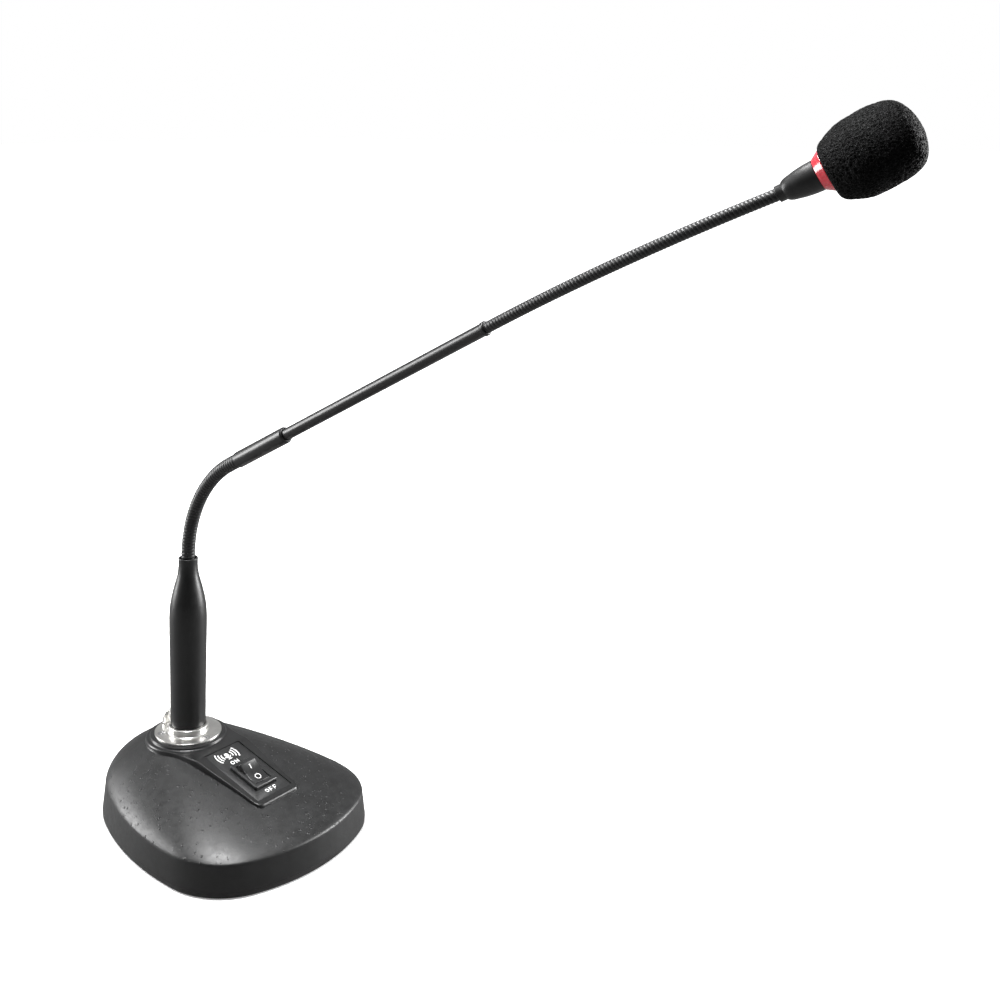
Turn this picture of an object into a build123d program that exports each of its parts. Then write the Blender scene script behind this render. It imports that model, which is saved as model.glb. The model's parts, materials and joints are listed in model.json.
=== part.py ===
"""Desktop gooseneck microphone stand: heavy base with a plug-in gooseneck microphone.

Millimetres. +Z is up, the origin is on the desk under the axis of the socket, and -Y is
the front of the base, the way the arm leans. "Forward" below means a distance along -Y.
"""
from build123d import *
from math import acos, atan2, cos, hypot, pi, radians, sin, sqrt, tan
import os

os.makedirs("parts", exist_ok=True)

# ---------------------------------------------------------------- driving dimensions
# Base outline, seen from above: front, corner, side and back arcs, tangent to each other
base_front = 99.5
base_back = 43.0
front_radius = 96.0
corner_radius = 37.5
side_radius = 158.0
back_radius = 49.0
corner_offset = 22.8        # centre of a corner arc, off the centre line

# Base heights
foot_height = 0.8           # how far the feet stand below the plate
plate_thickness = 2.0
skirt_top = 15.2            # crease between the skirt and the dome
skirt_draft = 1.8           # how far the crease lies inside the bottom edge
dome_top = 35.0
dome_top_radius = 20.0
wall = 2.5

# Control panel: a raised teardrop round the socket that narrows to the front
panel_back_radius = 22.5
panel_waist = (36.0, 17.0)  # forward distance, half width
panel_front = 70.3
panel_front_half_width = 14.2
panel_flat_height = 36.2
panel_thickness = 1.1
panel_land_depth = 7.0      # how far the land under the panel reaches into the dome
slope = 13.43               # degrees, downwards to the front
slope_start = 26.7          # forward distance where the label plate starts
label_length = 40.0
label_width = 23.5
label_thickness = 0.6
label_recess = 0.3

# Rocker switch, 21 x 15 mm class
switch_centre = 50.6        # forward distance
bezel_length = 20.4
bezel_width = 14.7
bezel_height = 1.8
switch_body_length = 19.0
switch_body_width = 12.9
switch_body_depth = 13.0
rocker_length = 12.8
rocker_width = 10.2
rocker_well_length = 15.8
rocker_edge = 3.8           # height of the ends of the key over its pivot
rocker_sag = 1.2            # how much lower the middle of the key is
rocker_throw = 15.0         # degrees each side of level
pivot_depth = 2.0
pivot_diameter = 2.0

# Socket for the plug-in gooseneck, three-pin audio connector size
flange_diameter = 35.6
flange_thickness = 1.0
flange_top = 38.5
collar_diameter = 21.6
collar_height = 3.5
plug_diameter = 18.9
plug_clearance = 0.08       # radial
insert_diameter = 15.6
socket_floor = 17.0
pin_diameter = 2.4
pin_circle_radius = 4.4
flange_screw_radius = 14.2

# Gooseneck
handle_top = flange_top + 92.4
lower_flex_diameter = 7.5
lower_bore = 4.6
lower_bend = 62.0           # degrees from upright
lower_bend_radius = 63.0
lower_straight = 7.4
lower_hinges = 8
ferrule_diameter = 8.4
ferrule_length = 39.8
tube_diameter = 6.0
arm_length = 181.6          # end of the lower flex to the start of the upper flex
upper_flex_diameter = 5.2
upper_bore = 3.2
upper_flex_length = 143.5
upper_hinges = 10
flex_elevation = 23.7       # degrees above level at the end of the upper flex
head_elevation = 27.3       # the head sits on the flex with a slight kink
head_swing = 17.0           # degrees to the +X side, for both
lower_gap = 1.5             # between neighbouring links
upper_gap = 1.0

# Microphone head, distances along its axis from the end of the upper flex
cone_length = 17.3
cone_front_radius = 6.4
ring_length = 3.8
ring_front_radius = 8.6
holder_radius = 5.5
holder_end = 46.0
foam_radius = 15.9
foam_length = 38.4


# ---------------------------------------------------------------- base form
corner_reach = front_radius - corner_radius
front_centre = (base_front - front_radius, 0.0)
corner_centre = (front_centre[0] + sqrt(corner_reach**2 - corner_offset**2), corner_offset)
back_centre = (back_radius - base_back, 0.0)


def tangent_centre(near, near_reach, far, far_reach):
    """Centre of the side arc, near_reach from near and far_reach from far."""
    span = hypot(far[0] - near[0], far[1] - near[1])
    unit = ((far[0] - near[0]) / span, (far[1] - near[1]) / span)
    along = (near_reach**2 - far_reach**2 + span**2) / (2 * span)
    across = sqrt(near_reach**2 - along**2)
    return (near[0] + along * unit[0] + across * unit[1],
            near[1] + along * unit[1] - across * unit[0])


side_centre = tangent_centre(
    back_centre, side_radius - back_radius, corner_centre, side_radius - corner_radius)


def bearing_of_tangent(centre, radius, inner):
    """Angle, seen from the socket axis, where two arcs meet."""
    reach = hypot(inner[0] - centre[0], inner[1] - centre[1])
    meet_x = centre[0] + radius * (inner[0] - centre[0]) / reach
    meet_y = centre[1] + radius * (inner[1] - centre[1]) / reach
    return atan2(meet_y, meet_x)


arcs = [
    (bearing_of_tangent(front_centre, front_radius, corner_centre), front_centre, front_radius),
    (bearing_of_tangent(side_centre, side_radius, corner_centre), corner_centre, corner_radius),
    (bearing_of_tangent(side_centre, side_radius, back_centre), side_centre, side_radius),
    (pi, back_centre, back_radius),
]


def rim_radius(bearing):
    """Distance from the socket axis to the bottom edge; bearing 0 is the front."""
    folded = abs(atan2(sin(bearing), cos(bearing)))
    for limit, centre, radius in arcs:
        if folded <= limit + 1e-9:
            break
    towards = centre[0] * cos(folded) + centre[1] * sin(folded)
    return towards + sqrt(towards**2 - centre[0]**2 - centre[1]**2 + radius**2)


def form_radius(bearing, height):
    """Radius of the outside of the base at a height, on the skirt or on the dome."""
    rim = rim_radius(bearing)
    if height <= skirt_top:
        return rim - skirt_draft * height / skirt_top
    rise = min((height - skirt_top) / (dome_top - skirt_top), 1.0)
    fullness = 0.56 + 0.16 * cos(bearing)
    travel = rise ** (1 / fullness)
    return (rim - skirt_draft) * (1 - travel) + dome_top_radius * travel


def outline_arcs(height, inset, look_up):
    """Arcs of the outline at a height, each as its start, middle and end point."""
    meets = [limit for limit, centre, radius in arcs[:-1]]
    bearings = [-meets[0], *meets, *[2 * pi - meet for meet in reversed(meets)]]

    def point(bearing):
        radius = form_radius(bearing, height + look_up) - inset
        return (radius * sin(bearing), -radius * cos(bearing))

    for start, end in zip(bearings, bearings[1:]):
        yield point(start), point((start + end) / 2), point(end)


def plan(forward, across=0.0):
    """Point on the desk from a forward and a sideways distance."""
    return (across, -forward)


plate_bottom = foot_height
plate_top = plate_bottom + plate_thickness
dome_steps = (0, 0.12, 0.32, 0.56, 0.8, 1)
dome_levels = [skirt_top + (dome_top - skirt_top) * step for step in dome_steps]
roof = 2.2                  # how much lower the inside of the dome is


def slope_height(forward):
    """Height of the sloping part of the control panel."""
    return panel_flat_height - (forward - slope_start) * tan(radians(slope))


# Places in the base
screw_spots = [plan(52, 50), plan(52, -50), plan(2, 38), plan(2, -38)]
foot_spots = [plan(0, 0), plan(78, 38), plan(78, -38), plan(-22, 27), plan(-22, -27)]
board_posts = [plan(13, 18), plan(13, -18), plan(-7, 18), plan(-7, -18)]
screw_boss_radius = 4.0
screw_radius = 1.45
screw_head_radius = 2.8
screw_length = 11.0
screw_clearance = 0.05
plate_inset = 0.5
foot_radius = 6.0
foot_recess = 1.0
board_bottom = 6.0
board_thickness = 1.6
board_middle = 3.0
board_size = (44.0, 28.0)
socket_hole_radius = 12.2
flange_screw_shank = 1.25
latch_back = 15.2           # socket axis to the middle of the latch tab, +Y
latch_width = 9.0
latch_thickness = 1.2
latch_slot_play = 0.4
jack_height = 9.6
jack_face = 41.6            # floor of the rear pocket, +Y
jack_wall = 5.0
jack_bush_radius = 4.5
jack_plug_radius = 3.225    # for a 6.35 mm plug
jack_tip = 45.0
jack_body_length = 24.0
front_boss_height = 16.4    # bosses for the bottom screws, up to the underside of the dome
side_boss_height = 22.2
jack_pad = (17.0, 3.7, 11.2)
battery_forward = 72.5
battery_radius = 5.25
battery_length = 44.5
battery_height = 8.6
door_size = (46.0, 24.0)
door_thickness = 1.6
door_grip = (12.0, 3.0, 0.5)

switch_plane = Plane(
    origin=(0, -switch_centre, slope_height(switch_centre)),
    x_dir=(1, 0, 0),
    z_dir=(0, -sin(radians(slope)), cos(radians(slope))),
)
label_floor = switch_plane.offset(-label_recess - label_thickness)
label_shift = -(slope_start + label_length / 2 - switch_centre) / cos(radians(slope))
label_run = label_length / cos(radians(slope))
switch_seat = switch_plane.offset(-label_recess)


# The panel's plan, from the socket to the front
shoulder_bearing = radians(68)
shoulder = plan(panel_back_radius * cos(shoulder_bearing), panel_back_radius * sin(shoulder_bearing))
left_shoulder = (-shoulder[0], shoulder[1])
front_corner = plan(panel_front, panel_front_half_width)
left_front_corner = plan(panel_front, -panel_front_half_width)


# ---------------------------------------------------------------- base shell
def base_outline(height, inset=0.0, look_up=0.0):
    """Sketch of the base form's outline at a height, or of its inside."""
    with BuildSketch(Plane.XY.offset(height)) as outline:
        with BuildLine():
            for start, middle, end in outline_arcs(height, inset, look_up):
                ThreePointArc(start, middle, end)
        make_face()
    return outline.sketch


with BuildPart() as outer_form:
    for height in (plate_top, skirt_top):
        add(base_outline(height))
    loft(ruled=True)
    for height in dome_levels:
        add(base_outline(height))
    loft()

with BuildPart() as cavity_form:
    for height in (plate_top, *[level - roof for level in dome_levels]):
        add(base_outline(height, wall, roof))
    loft(ruled=True)

with BuildSketch() as panel_outline:
    with BuildLine():
        flank = Spline(
            shoulder, plan(*panel_waist), front_corner,
            tangents=[(cos(shoulder_bearing), -sin(shoulder_bearing)), (-0.05, -1)],
        )
        mirror(flank, about=Plane.YZ)
        Line(front_corner, left_front_corner)
        ThreePointArc(shoulder, (0, panel_back_radius), left_shoulder)
    make_face()
    fillet(panel_outline.vertices().group_by(Axis.Y)[0], 3.5)


def panel_solid(low, high):
    """Teardrop between two surfaces, each a distance below the top of the panel."""
    with BuildPart() as teardrop:
        with BuildSketch(Plane.XY.offset(skirt_top)):
            add(panel_outline.sketch)
        extrude(amount=panel_flat_height - skirt_top + 1)
        with BuildSketch(Plane.YZ):
            with BuildLine():
                Polyline(
                    (panel_back_radius + 1, panel_flat_height - high),
                    (-slope_start, panel_flat_height - high),
                    (-panel_front - 1, slope_height(panel_front + 1) - high),
                    (-panel_front - 1, slope_height(panel_front + 1) - low),
                    (-slope_start, panel_flat_height - low),
                    (panel_back_radius + 1, panel_flat_height - low),
                    close=True,
                )
            make_face()
        extrude(amount=panel_back_radius + 2, both=True, mode=Mode.INTERSECT)
    return teardrop.part


with BuildPart() as base_housing:
    add(outer_form.part)
    add(panel_solid(panel_land_depth, panel_thickness))
    add(cavity_form.part, mode=Mode.SUBTRACT)
    for spots, height in ((screw_spots[:2], front_boss_height), (screw_spots[2:], side_boss_height)):
        with BuildSketch(Plane.XY.offset(plate_top)):
            with Locations(*spots):
                Circle(screw_boss_radius)
        extrude(amount=height)
    with BuildSketch(Plane.XY.offset(plate_top)):
        with Locations((0, jack_face - jack_wall + jack_pad[1] / 2)):
            Rectangle(*jack_pad[:2])
    extrude(amount=jack_pad[2])
    with BuildSketch(Plane.XY.offset(dome_top + 2)):
        Circle(socket_hole_radius)
    extrude(amount=-8, mode=Mode.SUBTRACT)
    with BuildSketch(switch_plane):
        Rectangle(switch_body_width + 3, switch_body_length + 3)
    extrude(amount=-switch_body_depth, mode=Mode.SUBTRACT)
    with BuildSketch(Plane.XZ.offset(-jack_face)):
        with Locations((0, jack_height)):
            RectangleRounded(16, 13.2, 2)
    extrude(amount=-(base_back - jack_face + 1), mode=Mode.SUBTRACT)
    with BuildSketch(Plane.XZ.offset(-jack_face)):
        with Locations((0, jack_height)):
            Circle(jack_bush_radius + 0.1)
    extrude(amount=jack_wall + 1, mode=Mode.SUBTRACT)
    with BuildSketch(Plane.XY.offset(plate_top)):
        with Locations(*screw_spots):
            Circle(screw_radius + screw_clearance)
    extrude(amount=screw_length, mode=Mode.SUBTRACT)
    with BuildSketch(Plane.XY.offset(dome_top)):
        with PolarLocations(flange_screw_radius, 3, start_angle=-90):
            Circle(flange_screw_shank + screw_clearance)
        with Locations((0, latch_back)):
            Rectangle(latch_width + 2 * latch_slot_play, latch_thickness + 2 * latch_slot_play)
    extrude(amount=-8, both=True, mode=Mode.SUBTRACT)
base_housing.part.label = "base_housing"
export_step(base_housing.part, "parts/base_housing.step")


def countersunk_screw(head_radius, shank_radius, length):
    """Cross-slotted countersunk screw, head up at the origin."""
    with BuildPart() as screw:
        with BuildSketch(Plane.XZ):
            with BuildLine():
                Polyline((0, 0), (head_radius, 0), (shank_radius, shank_radius - head_radius),
                         (shank_radius, -length), (0, -length), close=True)
            make_face()
        revolve(axis=Axis.Z)
        with BuildSketch():
            Rectangle(head_radius * 1.2, 0.5)
            Rectangle(0.5, head_radius * 1.2)
        extrude(amount=-0.6, mode=Mode.SUBTRACT)
    return screw.part


with BuildPart() as bottom_plate:
    add(base_outline(plate_bottom, plate_inset))
    extrude(amount=plate_thickness)
    with BuildSketch(Plane.XY.offset(plate_top)):
        with Locations(*board_posts):
            Circle(2.5)
    extrude(amount=board_bottom - plate_top)
    with BuildSketch(Plane.XY.offset(plate_bottom)):
        with Locations(plan(battery_forward)):
            Rectangle(door_size[0] + 0.8, door_size[1] + 0.8)
    extrude(amount=plate_thickness, mode=Mode.SUBTRACT)
    with BuildSketch(Plane.XY.offset(plate_bottom)):
        with Locations(*foot_spots):
            Circle(foot_radius + 0.1)
    extrude(amount=foot_recess, mode=Mode.SUBTRACT)
    with Locations(*[Location((x, y, plate_bottom), (180, 0, 0)) for x, y in screw_spots]):
        CounterSinkHole(screw_radius + screw_clearance, screw_head_radius + screw_clearance,
                        depth=plate_thickness, counter_sink_angle=90)
bottom_plate.part.label = "bottom_plate"
export_step(bottom_plate.part, "parts/bottom_plate.step")

with BuildPart() as rubber_feet:
    with BuildSketch():
        with Locations(*foot_spots):
            Circle(foot_radius)
    extrude(amount=foot_height + foot_recess)
    chamfer(rubber_feet.edges().group_by(Axis.Z)[0], 0.3)
rubber_feet.part.label = "rubber_feet"
export_step(rubber_feet.part, "parts/rubber_feet.step")

bottom_screw = countersunk_screw(screw_head_radius, screw_radius, screw_length)
with BuildPart() as bottom_screws:
    with Locations(*[Location((x, y, plate_bottom), (180, 0, 0)) for x, y in screw_spots]):
        add(bottom_screw)
bottom_screws.part.label = "bottom_screws"
export_step(bottom_screws.part, "parts/bottom_screws.step")

with BuildPart() as ballast_weights:
    with BuildSketch(Plane.XY.offset(plate_top)):
        with Locations(plan(26, 35), plan(26, -35)):
            RectangleRounded(20, 34, 2)
    extrude(amount=9)
ballast_weights.part.label = "ballast_weights"
export_step(ballast_weights.part, "parts/ballast_weights.step")

# ---------------------------------------------------------------- control panel
with BuildPart() as control_panel:
    add(panel_solid(panel_thickness, 0))
    with BuildSketch(Plane.XY.offset(panel_flat_height - panel_thickness)):
        Circle(dome_top_radius)
    extrude(amount=flange_top - flange_thickness - panel_flat_height + panel_thickness)
    with Locations((0, 0, flange_top)):
        Hole(socket_hole_radius, depth=6)
    with BuildSketch(label_floor):
        with Locations((0, label_shift)):
            Rectangle(label_width + 0.2, label_run + 0.2)
    extrude(amount=6, mode=Mode.SUBTRACT)
    with BuildSketch(switch_plane):
        Rectangle(switch_body_width + 0.2, switch_body_length + 0.2)
    extrude(amount=-switch_body_depth, mode=Mode.SUBTRACT)
    with BuildSketch(Plane.XY.offset(flange_top)):
        with PolarLocations(flange_screw_radius, 3, start_angle=-90):
            Circle(flange_screw_shank + screw_clearance)
        with Locations((0, latch_back)):
            Rectangle(latch_width + 2 * latch_slot_play, latch_thickness + 2 * latch_slot_play)
    extrude(amount=-6, mode=Mode.SUBTRACT)
control_panel.part.label = "control_panel"
export_step(control_panel.part, "parts/control_panel.step")

with BuildPart() as label_plate:
    with BuildSketch(label_floor):
        with Locations((0, label_shift)):
            Rectangle(label_width, label_run)
        Rectangle(switch_body_width + 0.2, switch_body_length + 0.2, mode=Mode.SUBTRACT)
    extrude(amount=label_thickness)
label_plate.part.label = "label_plate"
export_step(label_plate.part, "parts/label_plate.step")

# ---------------------------------------------------------------- rocker switch
rocker_well = (rocker_width + 0.4, rocker_well_length)
rocker_pivot = switch_seat.offset(bezel_height - 0.4 - pivot_depth)
with BuildPart() as switch_body:
    with BuildSketch(switch_seat):
        RectangleRounded(bezel_width, bezel_length, 0.8)
    extrude(amount=bezel_height)
    chamfer(switch_body.edges().group_by(Axis.Z)[-1], 0.4)
    with BuildSketch(switch_seat):
        Rectangle(switch_body_width, switch_body_length)
    extrude(amount=-switch_body_depth)
    with BuildSketch(switch_seat.offset(bezel_height)):
        Rectangle(*rocker_well)
    extrude(amount=-9, mode=Mode.SUBTRACT)
    with BuildSketch(Plane(rocker_pivot.origin, x_dir=rocker_pivot.y_dir, z_dir=rocker_pivot.x_dir)):
        Circle(pivot_diameter / 2 + 0.05)
    extrude(amount=rocker_well[0] / 2 + 1, both=True, mode=Mode.SUBTRACT)
switch_body.part.label = "switch_body"
export_step(switch_body.part, "parts/switch_body.step")

# The end nearer the front is pressed: the side profile is drawn level, then turned
rocker_side = Plane(rocker_pivot.origin, x_dir=rocker_pivot.y_dir, z_dir=rocker_pivot.x_dir)
raised = rocker_pivot.y_dir * cos(radians(rocker_throw)) + rocker_pivot.z_dir * sin(radians(rocker_throw))
rocker_tilted = Plane(rocker_pivot.origin, x_dir=raised, z_dir=rocker_pivot.x_dir)
rocker_half = rocker_length / 2
rocker_reach = hypot(rocker_half, rocker_edge)
with BuildPart() as rocker:
    with BuildSketch(rocker_tilted):
        with BuildLine():
            for end in (-1, 1):
                ThreePointArc(
                    (end * rocker_half, rocker_edge),
                    (end * sqrt(rocker_reach**2 - 2.0**2), 2.0),
                    (end * sqrt(rocker_reach**2 - 0.5**2), 0.5),
                )
            ThreePointArc((-rocker_half, rocker_edge), (0, rocker_edge - rocker_sag),
                          (rocker_half, rocker_edge))
            Polyline((sqrt(rocker_reach**2 - 0.5**2), 0.5), (4.5, -3.5), (-4.5, -3.5),
                     (-sqrt(rocker_reach**2 - 0.5**2), 0.5))
        make_face()
    extrude(amount=rocker_width / 2, both=True)
    with BuildSketch(rocker_side):
        Circle(pivot_diameter / 2)
    extrude(amount=rocker_width / 2 + 0.9, both=True)
rocker.part.label = "rocker"
export_step(rocker.part, "parts/rocker.step")

with BuildPart() as switch_terminals:
    with BuildSketch(switch_seat.offset(-switch_body_depth)):
        with GridLocations(0, 7, 1, 2):
            Rectangle(4.8, 0.8)
    extrude(amount=-6)
switch_terminals.part.label = "switch_terminals"
export_step(switch_terminals.part, "parts/switch_terminals.step")

# ---------------------------------------------------------------- socket
plug_radius = plug_diameter / 2
bore_radius = plug_radius + plug_clearance
barrel_radius = socket_hole_radius - 0.4
collar_radius = collar_diameter / 2
flange_bottom = flange_top - flange_thickness
spring_shelf = 19.0

with BuildPart() as socket_flange:
    with BuildSketch(Plane.XZ):
        with BuildLine():
            Polyline((bore_radius, flange_top + collar_height - 0.8), (bore_radius, socket_floor),
                     (barrel_radius, socket_floor), (barrel_radius, flange_bottom),
                     (flange_diameter / 2, flange_bottom), (flange_diameter / 2, flange_top - 0.3),
                     (flange_diameter / 2 - 0.3, flange_top), (collar_radius + 1.2, flange_top))
            foot = RadiusArc((collar_radius + 1.2, flange_top), (collar_radius, flange_top + 1.2), 1.2)
            Line(foot @ 1, (collar_radius, flange_top + collar_height - 0.6))
            ThreePointArc(
                (collar_radius, flange_top + collar_height - 0.6),
                (collar_radius - 0.25, flange_top + collar_height - 0.1),
                (collar_radius - 0.6, flange_top + collar_height),
            )
            Line((collar_radius - 0.6, flange_top + collar_height),
                 (bore_radius, flange_top + collar_height - 0.8))
        make_face()
    revolve(axis=Axis.Z)
    with BuildSketch(Plane.XY.offset(spring_shelf)):
        with Locations((0, barrel_radius + 1.8)):
            Rectangle(6, 4.2)
    extrude(amount=-1.5)
    with Locations((0, 0, flange_top)):
        with PolarLocations(flange_screw_radius, 3, start_angle=-90):
            CounterSinkHole(flange_screw_shank + screw_clearance, 2.3 + screw_clearance,
                            depth=flange_thickness + 0.4, counter_sink_angle=90)
    with BuildSketch(Plane.XY.offset(flange_top)):
        with Locations((0, latch_back)):
            Rectangle(latch_width + 2 * latch_slot_play, latch_thickness + 2 * latch_slot_play)
    extrude(amount=-flange_thickness, mode=Mode.SUBTRACT)
socket_flange.part.label = "socket_flange"
export_step(socket_flange.part, "parts/socket_flange.step")

flange_screw = countersunk_screw(2.3, flange_screw_shank, 6.5)
with BuildPart() as flange_screws:
    with Locations((0, 0, flange_top)):
        with PolarLocations(flange_screw_radius, 3, start_angle=-90):
            add(flange_screw)
flange_screws.part.label = "flange_screws"
export_step(flange_screws.part, "parts/flange_screws.step")

contact_radius = 2.1
insert_top = 36.5
with BuildPart() as socket_insert:
    with BuildSketch(Plane.XY.offset(socket_floor)):
        Circle(bore_radius - 0.03)
    extrude(amount=1.8)
    with BuildSketch(Plane.XY.offset(socket_floor)):
        Circle(insert_diameter / 2)
    extrude(amount=insert_top - socket_floor)
    with BuildSketch(Plane.XY.offset(insert_top)):
        with PolarLocations(pin_circle_radius, 3, start_angle=90):
            Circle(contact_radius + 0.05)
    extrude(amount=-(insert_top - socket_floor), mode=Mode.SUBTRACT)
socket_insert.part.label = "socket_insert"
export_step(socket_insert.part, "parts/socket_insert.step")

board_top = board_bottom + board_thickness
with BuildPart() as socket_contacts:
    with BuildSketch(Plane.XY.offset(socket_floor)):
        with PolarLocations(pin_circle_radius, 3, start_angle=90):
            Circle(contact_radius)
    extrude(amount=insert_top - socket_floor - 0.5)
    with BuildSketch(Plane.XY.offset(socket_floor + 2)):
        with PolarLocations(pin_circle_radius, 3, start_angle=90):
            Circle(pin_diameter / 2 + 0.05)
    extrude(amount=insert_top - socket_floor, mode=Mode.SUBTRACT)
    with BuildSketch(Plane.XY.offset(board_top)):
        with PolarLocations(pin_circle_radius, 3, start_angle=90):
            Circle(0.7)
    extrude(amount=socket_floor - board_top)
socket_contacts.part.label = "socket_contacts"
export_step(socket_contacts.part, "parts/socket_contacts.step")

arm_low = 25.0
with BuildPart() as latch_tab:
    with BuildSketch(Plane.XZ.offset(-latch_back)) as tab_face:
        with Locations((0, (arm_low + flange_top + 6.4) / 2)):
            Rectangle(latch_width, flange_top + 6.4 - arm_low)
        fillet(tab_face.vertices().group_by(Axis.Z)[-1], 3.5)
    extrude(amount=latch_thickness / 2, both=True)
    with BuildSketch(Plane.XY.offset(arm_low)):
        with Locations((0, latch_back - 1.2)):
            Rectangle(latch_width, latch_thickness + 2.4)
    extrude(amount=1.2)
latch_tab.part.label = "latch_tab"
export_step(latch_tab.part, "parts/latch_tab.step")

spring_middle = (0, barrel_radius + 2.0)
with BuildPart() as latch_spring:
    with BuildLine(Plane.XY.offset(spring_shelf + 0.3)):
        with Locations(spring_middle):
            coil = Helix(pitch=1.35, height=5.4, radius=1.3, center=(*spring_middle, 0))
    with BuildSketch(Plane(origin=coil @ 0, z_dir=coil % 0)):
        Circle(0.22)
    sweep(path=coil)
latch_spring.part.label = "latch_spring"
export_step(latch_spring.part, "parts/latch_spring.step")

# ---------------------------------------------------------------- electronics in the base
with BuildPart() as circuit_board:
    with BuildSketch(Plane.XY.offset(board_bottom)):
        with Locations(plan(board_middle)):
            Rectangle(*board_size)
    extrude(amount=board_thickness)
circuit_board.part.label = "circuit_board"
export_step(circuit_board.part, "parts/circuit_board.step")

with BuildPart() as board_components:
    with BuildSketch(Plane.XY.offset(board_top)):
        with Locations(plan(8, 16), plan(8, -16), plan(-4, 16)):
            Circle(2.5)
    extrude(amount=7)
    with BuildSketch(Plane.XY.offset(board_top)):
        with Locations(plan(13.5, 0)):
            Rectangle(12, 5)
        with Locations(plan(-4, -15)):
            Rectangle(8, 5)
    extrude(amount=2.6)
board_components.part.label = "board_components"
export_step(board_components.part, "parts/board_components.step")

with BuildPart() as output_jack:
    with BuildSketch(Plane.XZ.offset(-(jack_face - jack_wall))):
        with Locations((0, jack_height)):
            Rectangle(15, 12.4)
    extrude(amount=jack_body_length)
    with BuildSketch(Plane.XZ.offset(-(jack_face - jack_wall))):
        with Locations((0, jack_height)):
            Circle(jack_bush_radius)
    extrude(amount=-(jack_tip - jack_face + jack_wall))
    chamfer(output_jack.faces().sort_by(Axis.Y)[-1].edges(), 0.4)
    with BuildSketch(Plane.XZ.offset(-jack_tip)):
        with Locations((0, jack_height)):
            Circle(jack_plug_radius)
    extrude(amount=29.5, mode=Mode.SUBTRACT)
output_jack.part.label = "output_jack"
export_step(output_jack.part, "parts/output_jack.step")

with BuildPart() as jack_nut:
    with BuildSketch(Plane.XZ.offset(-jack_face)):
        with Locations((0, jack_height)):
            RegularPolygon(6, 6, major_radius=False)
            Circle(jack_bush_radius + 0.05, mode=Mode.SUBTRACT)
    extrude(amount=-2)
jack_nut.part.label = "jack_nut"
export_step(jack_nut.part, "parts/jack_nut.step")

cell_pitch = 11.6
with BuildPart() as battery_box:
    with BuildSketch(Plane.XY.offset(plate_top)):
        with Locations(plan(battery_forward)):
            RectangleRounded(51, 26, 1.5)
    extrude(amount=13)
    with BuildSketch(Plane.XY.offset(plate_top)):
        with Locations(plan(battery_forward)):
            Rectangle(48.6, 23.6)
    extrude(amount=11.8, mode=Mode.SUBTRACT)
battery_box.part.label = "battery_box"
export_step(battery_box.part, "parts/battery_box.step")

with BuildPart() as battery_cells:
    with BuildSketch(Plane.YZ.offset(-battery_length / 2)):
        with Locations((-battery_forward - cell_pitch / 2, battery_height),
                       (-battery_forward + cell_pitch / 2, battery_height)):
            Circle(battery_radius)
    extrude(amount=battery_length)
battery_cells.part.label = "battery_cells"
export_step(battery_cells.part, "parts/battery_cells.step")

with BuildPart() as battery_contacts:
    for side in (-1, 1):
        with BuildSketch(Plane.YZ.offset(side * 24.3)):
            with Locations((-battery_forward - cell_pitch / 2, battery_height),
                           (-battery_forward + cell_pitch / 2, battery_height)):
                Rectangle(8, 8)
        extrude(amount=-side * 0.4)
        with BuildSketch(Plane.YZ.offset(side * 23.9)):
            with Locations((-battery_forward - cell_pitch / 2, battery_height),
                           (-battery_forward + cell_pitch / 2, battery_height)):
                Circle(1.8)
        extrude(amount=-side * 1.65)
battery_contacts.part.label = "battery_contacts"
export_step(battery_contacts.part, "parts/battery_contacts.step")

with BuildPart() as battery_door:
    with BuildSketch(Plane.XY.offset(plate_bottom)):
        with Locations(plan(battery_forward)):
            Rectangle(*door_size)
    extrude(amount=door_thickness)
    with BuildSketch(Plane.XY.offset(plate_bottom)):
        with Locations(plan(battery_forward - door_size[1] / 2 + 4)):
            SlotOverall(*door_grip[:2])
    extrude(amount=door_grip[2], mode=Mode.SUBTRACT)
battery_door.part.label = "battery_door"
export_step(battery_door.part, "parts/battery_door.step")

terminal_tip = switch_seat.offset(-switch_body_depth - 6.2)
with BuildPart() as base_wiring:
    for side, wire_start in (
        (1, terminal_tip.from_local_coords((1.5, 3.5, 0))),
        (-1, terminal_tip.from_local_coords((-1.5, -3.5, 0))),
    ):
        with BuildLine():
            route = Spline(wire_start, (side * 5, -32, 5), (side * 4, -24, 9),
                           (side * 3, -15, board_top + 3.4))
        with BuildSketch(Plane(origin=route @ 0, z_dir=route % 0)):
            Circle(0.6)
        sweep(path=route)
base_wiring.part.label = "base_wiring"
export_step(base_wiring.part, "parts/base_wiring.step")


# ---------------------------------------------------------------- gooseneck path
def direction(elevation, swing):
    """Unit vector from an elevation and a swing to +X, in degrees; 0, 0 is the front."""
    level = cos(radians(elevation))
    return Vector(level * sin(radians(swing)), -level * cos(radians(swing)), sin(radians(elevation)))


def across(along):
    """Level unit vector square to a direction, to -X for one that points to the front."""
    return along.cross(Vector(0, 0, 1)).normalized()


def frame_at(origin, along):
    """Plane square to the gooseneck, with its normal along it."""
    return Plane(origin=origin, x_dir=-across(along) if abs(along.Z) < 0.999 else (1, 0, 0), z_dir=along)


arm_elevation = 90 - lower_bend
lower_arc = radians(lower_bend) * lower_bend_radius
lower_length = lower_arc + lower_straight


def lower_at(distance):
    """Point and direction on the lower flex, measured from the handle's mouth."""
    turned = max(min(distance, lower_arc), 0) / lower_bend_radius
    point = Vector(0, -lower_bend_radius * (1 - cos(turned)), handle_top + lower_bend_radius * sin(turned))
    along = Vector(0, -sin(turned), cos(turned))
    return point + along * (distance - turned * lower_bend_radius), along


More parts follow.
